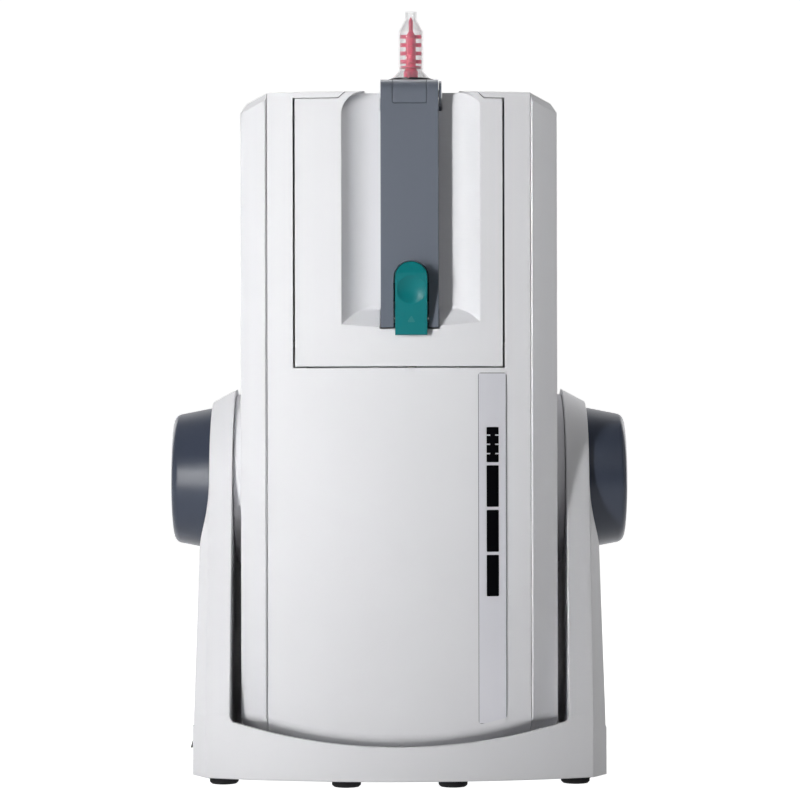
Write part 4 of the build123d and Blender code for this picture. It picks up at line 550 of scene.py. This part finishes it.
def make_stage_material():
    """Pale matt stage that the camera, mirrors and glass see as white, with shadows."""
    material, tree, shader = new_material("stage_white")
    slow = noise(tree, 3.0, 2.0)
    tree.links.new(shade_between(tree, slow, (0.5, 0.5, 0.5), (0.54, 0.54, 0.54)),
                   shader.inputs["Base Color"])
    shader.inputs["Roughness"].default_value = 0.9
    shader.inputs["Specular IOR Level"].default_value = 0.1
    glow = tree.nodes.new("ShaderNodeEmission")
    glow.inputs["Color"].default_value = (1.0, 1.0, 1.0, 1.0)
    path = tree.nodes.new("ShaderNodeLightPath")
    seen = maths(tree, "MAXIMUM", path.outputs["Is Camera Ray"],
                 path.outputs["Is Glossy Ray"])
    seen = maths(tree, "MAXIMUM", seen, path.outputs["Is Transmission Ray"])
    coordinates = tree.nodes.new("ShaderNodeTexCoord")
    away = tree.nodes.new("ShaderNodeVectorMath")
    away.operation = "LENGTH"
    tree.links.new(coordinates.outputs["Object"], away.inputs[0])
    lift = remap(tree, away.outputs["Value"], STAGE_LIFT, 1.0, *SHADOW_REACH)
    tree.links.new(maths(tree, "MULTIPLY", lift, seen), glow.inputs["Strength"])
    total = tree.nodes.new("ShaderNodeAddShader")
    tree.links.new(shader.outputs[0], total.inputs[0])
    tree.links.new(glow.outputs[0], total.inputs[1])
    tree.links.new(total.outputs[0], tree.nodes["Material Output"].inputs["Surface"])
    return material


def make_stage():
    """Floor that curves up into a backdrop, as one swept sheet."""
    bend = BACKDROP_Y - SWEEP_R
    section = [(STAGE_FRONT, 0.0), (bend, 0.0)]
    for step in range(1, SWEEP_STEPS + 1):
        angle = step * pi / 2 / SWEEP_STEPS
        section.append((bend + SWEEP_R * sin(angle), SWEEP_R - SWEEP_R * cos(angle)))
    section.append((BACKDROP_Y, STAGE_HALF))
    mesh = bpy.data.meshes.new("studio_sweep")
    shape = bmesh.new()
    left = [shape.verts.new((-STAGE_HALF, y, z)) for y, z in section]
    right = [shape.verts.new((STAGE_HALF, y, z)) for y, z in section]
    for index in range(len(section) - 1):
        face = shape.faces.new((left[index], right[index], right[index + 1],
                                left[index + 1]))
        face.smooth = True
    shape.to_mesh(mesh)
    shape.free()
    sweep = bpy.data.objects.new("studio_sweep", mesh)
    bpy.context.scene.collection.objects.link(sweep)
    mesh.materials.append(make_stage_material())


def make_world():
    """Weak even surroundings, which the camera and glass see as white."""
    world = bpy.data.worlds.new("studio")
    world.use_nodes = True
    bpy.context.scene.world = world
    tree = world.node_tree
    background = tree.nodes["Background"]
    background.inputs["Color"].default_value = (1.0, 1.0, 1.0, 1.0)
    path = tree.nodes.new("ShaderNodeLightPath")
    seen = maths(tree, "MAXIMUM", path.outputs["Is Camera Ray"],
                 path.outputs["Is Transmission Ray"])
    tree.links.new(remap(tree, seen, WORLD_STRENGTH, 1.0), background.inputs["Strength"])


def softbox(name, place, aim, width, height, power, spread_angle=180.0):
    """Rectangular softbox at a place, looking at a point."""
    data = bpy.data.lights.new(name, "AREA")
    data.shape = "RECTANGLE"
    data.size = width
    data.size_y = height
    data.energy = power
    data.spread = radians(spread_angle)
    light = bpy.data.objects.new(name, data)
    light.location = place
    light.rotation_euler = (Vector(aim) - Vector(place)).to_track_quat("-Z", "Y").to_euler()
    bpy.context.scene.collection.objects.link(light)


def make_lights():
    """Two slim strips from the left at one bearing, weak front fill, and soft rear light."""
    softbox("key_low", (-0.419, -0.702, 0.21), (0.02, -0.08, 0.28), 0.06, 0.34, 1.5, 130.0)
    softbox("key_high", (-0.727, -1.158, 0.55), (0.05, -0.08, 0.36), 0.1, 0.5, 0.34, 35.0)
    softbox("left", (-0.85, -0.2, 0.25), (0.0, 0.0, 0.15), 0.4, 0.6, 0.8)
    softbox("right", (0.9, -0.1, 0.6), (0.0, 0.0, 0.4), 0.4, 0.8, 0.35, 90.0)
    softbox("front_high", (0.6, -1.0, 0.9), (0.0, -0.08, 0.4), 0.8, 0.8, 0.35, 90.0)
    softbox("foot_left", (-0.5, -0.9, 0.03), (-0.13, -0.1, 0.0), 0.1, 0.1, 0.03, 30.0)
    softbox("back_left", (-0.95, 0.85, 0.5), (0.0, 0.05, 0.2), 0.8, 0.8, 6.0)
    softbox("back_right", (0.95, 0.85, 0.5), (0.0, 0.05, 0.2), 0.8, 0.8, 6.0)
    softbox("top_left", (-0.3, -0.2, 1.6), (0.0, 0.0, 0.2), 1.0, 1.0, 0.8)
    softbox("top_back", (0.0, 0.7, 1.5), (0.0, 0.05, 0.3), 0.8, 0.8, 8.0)


bpy.context.scene.view_settings.view_transform = "Standard"
make_camera()
dress_all()
make_details()
make_stage()
make_world()
make_lights()
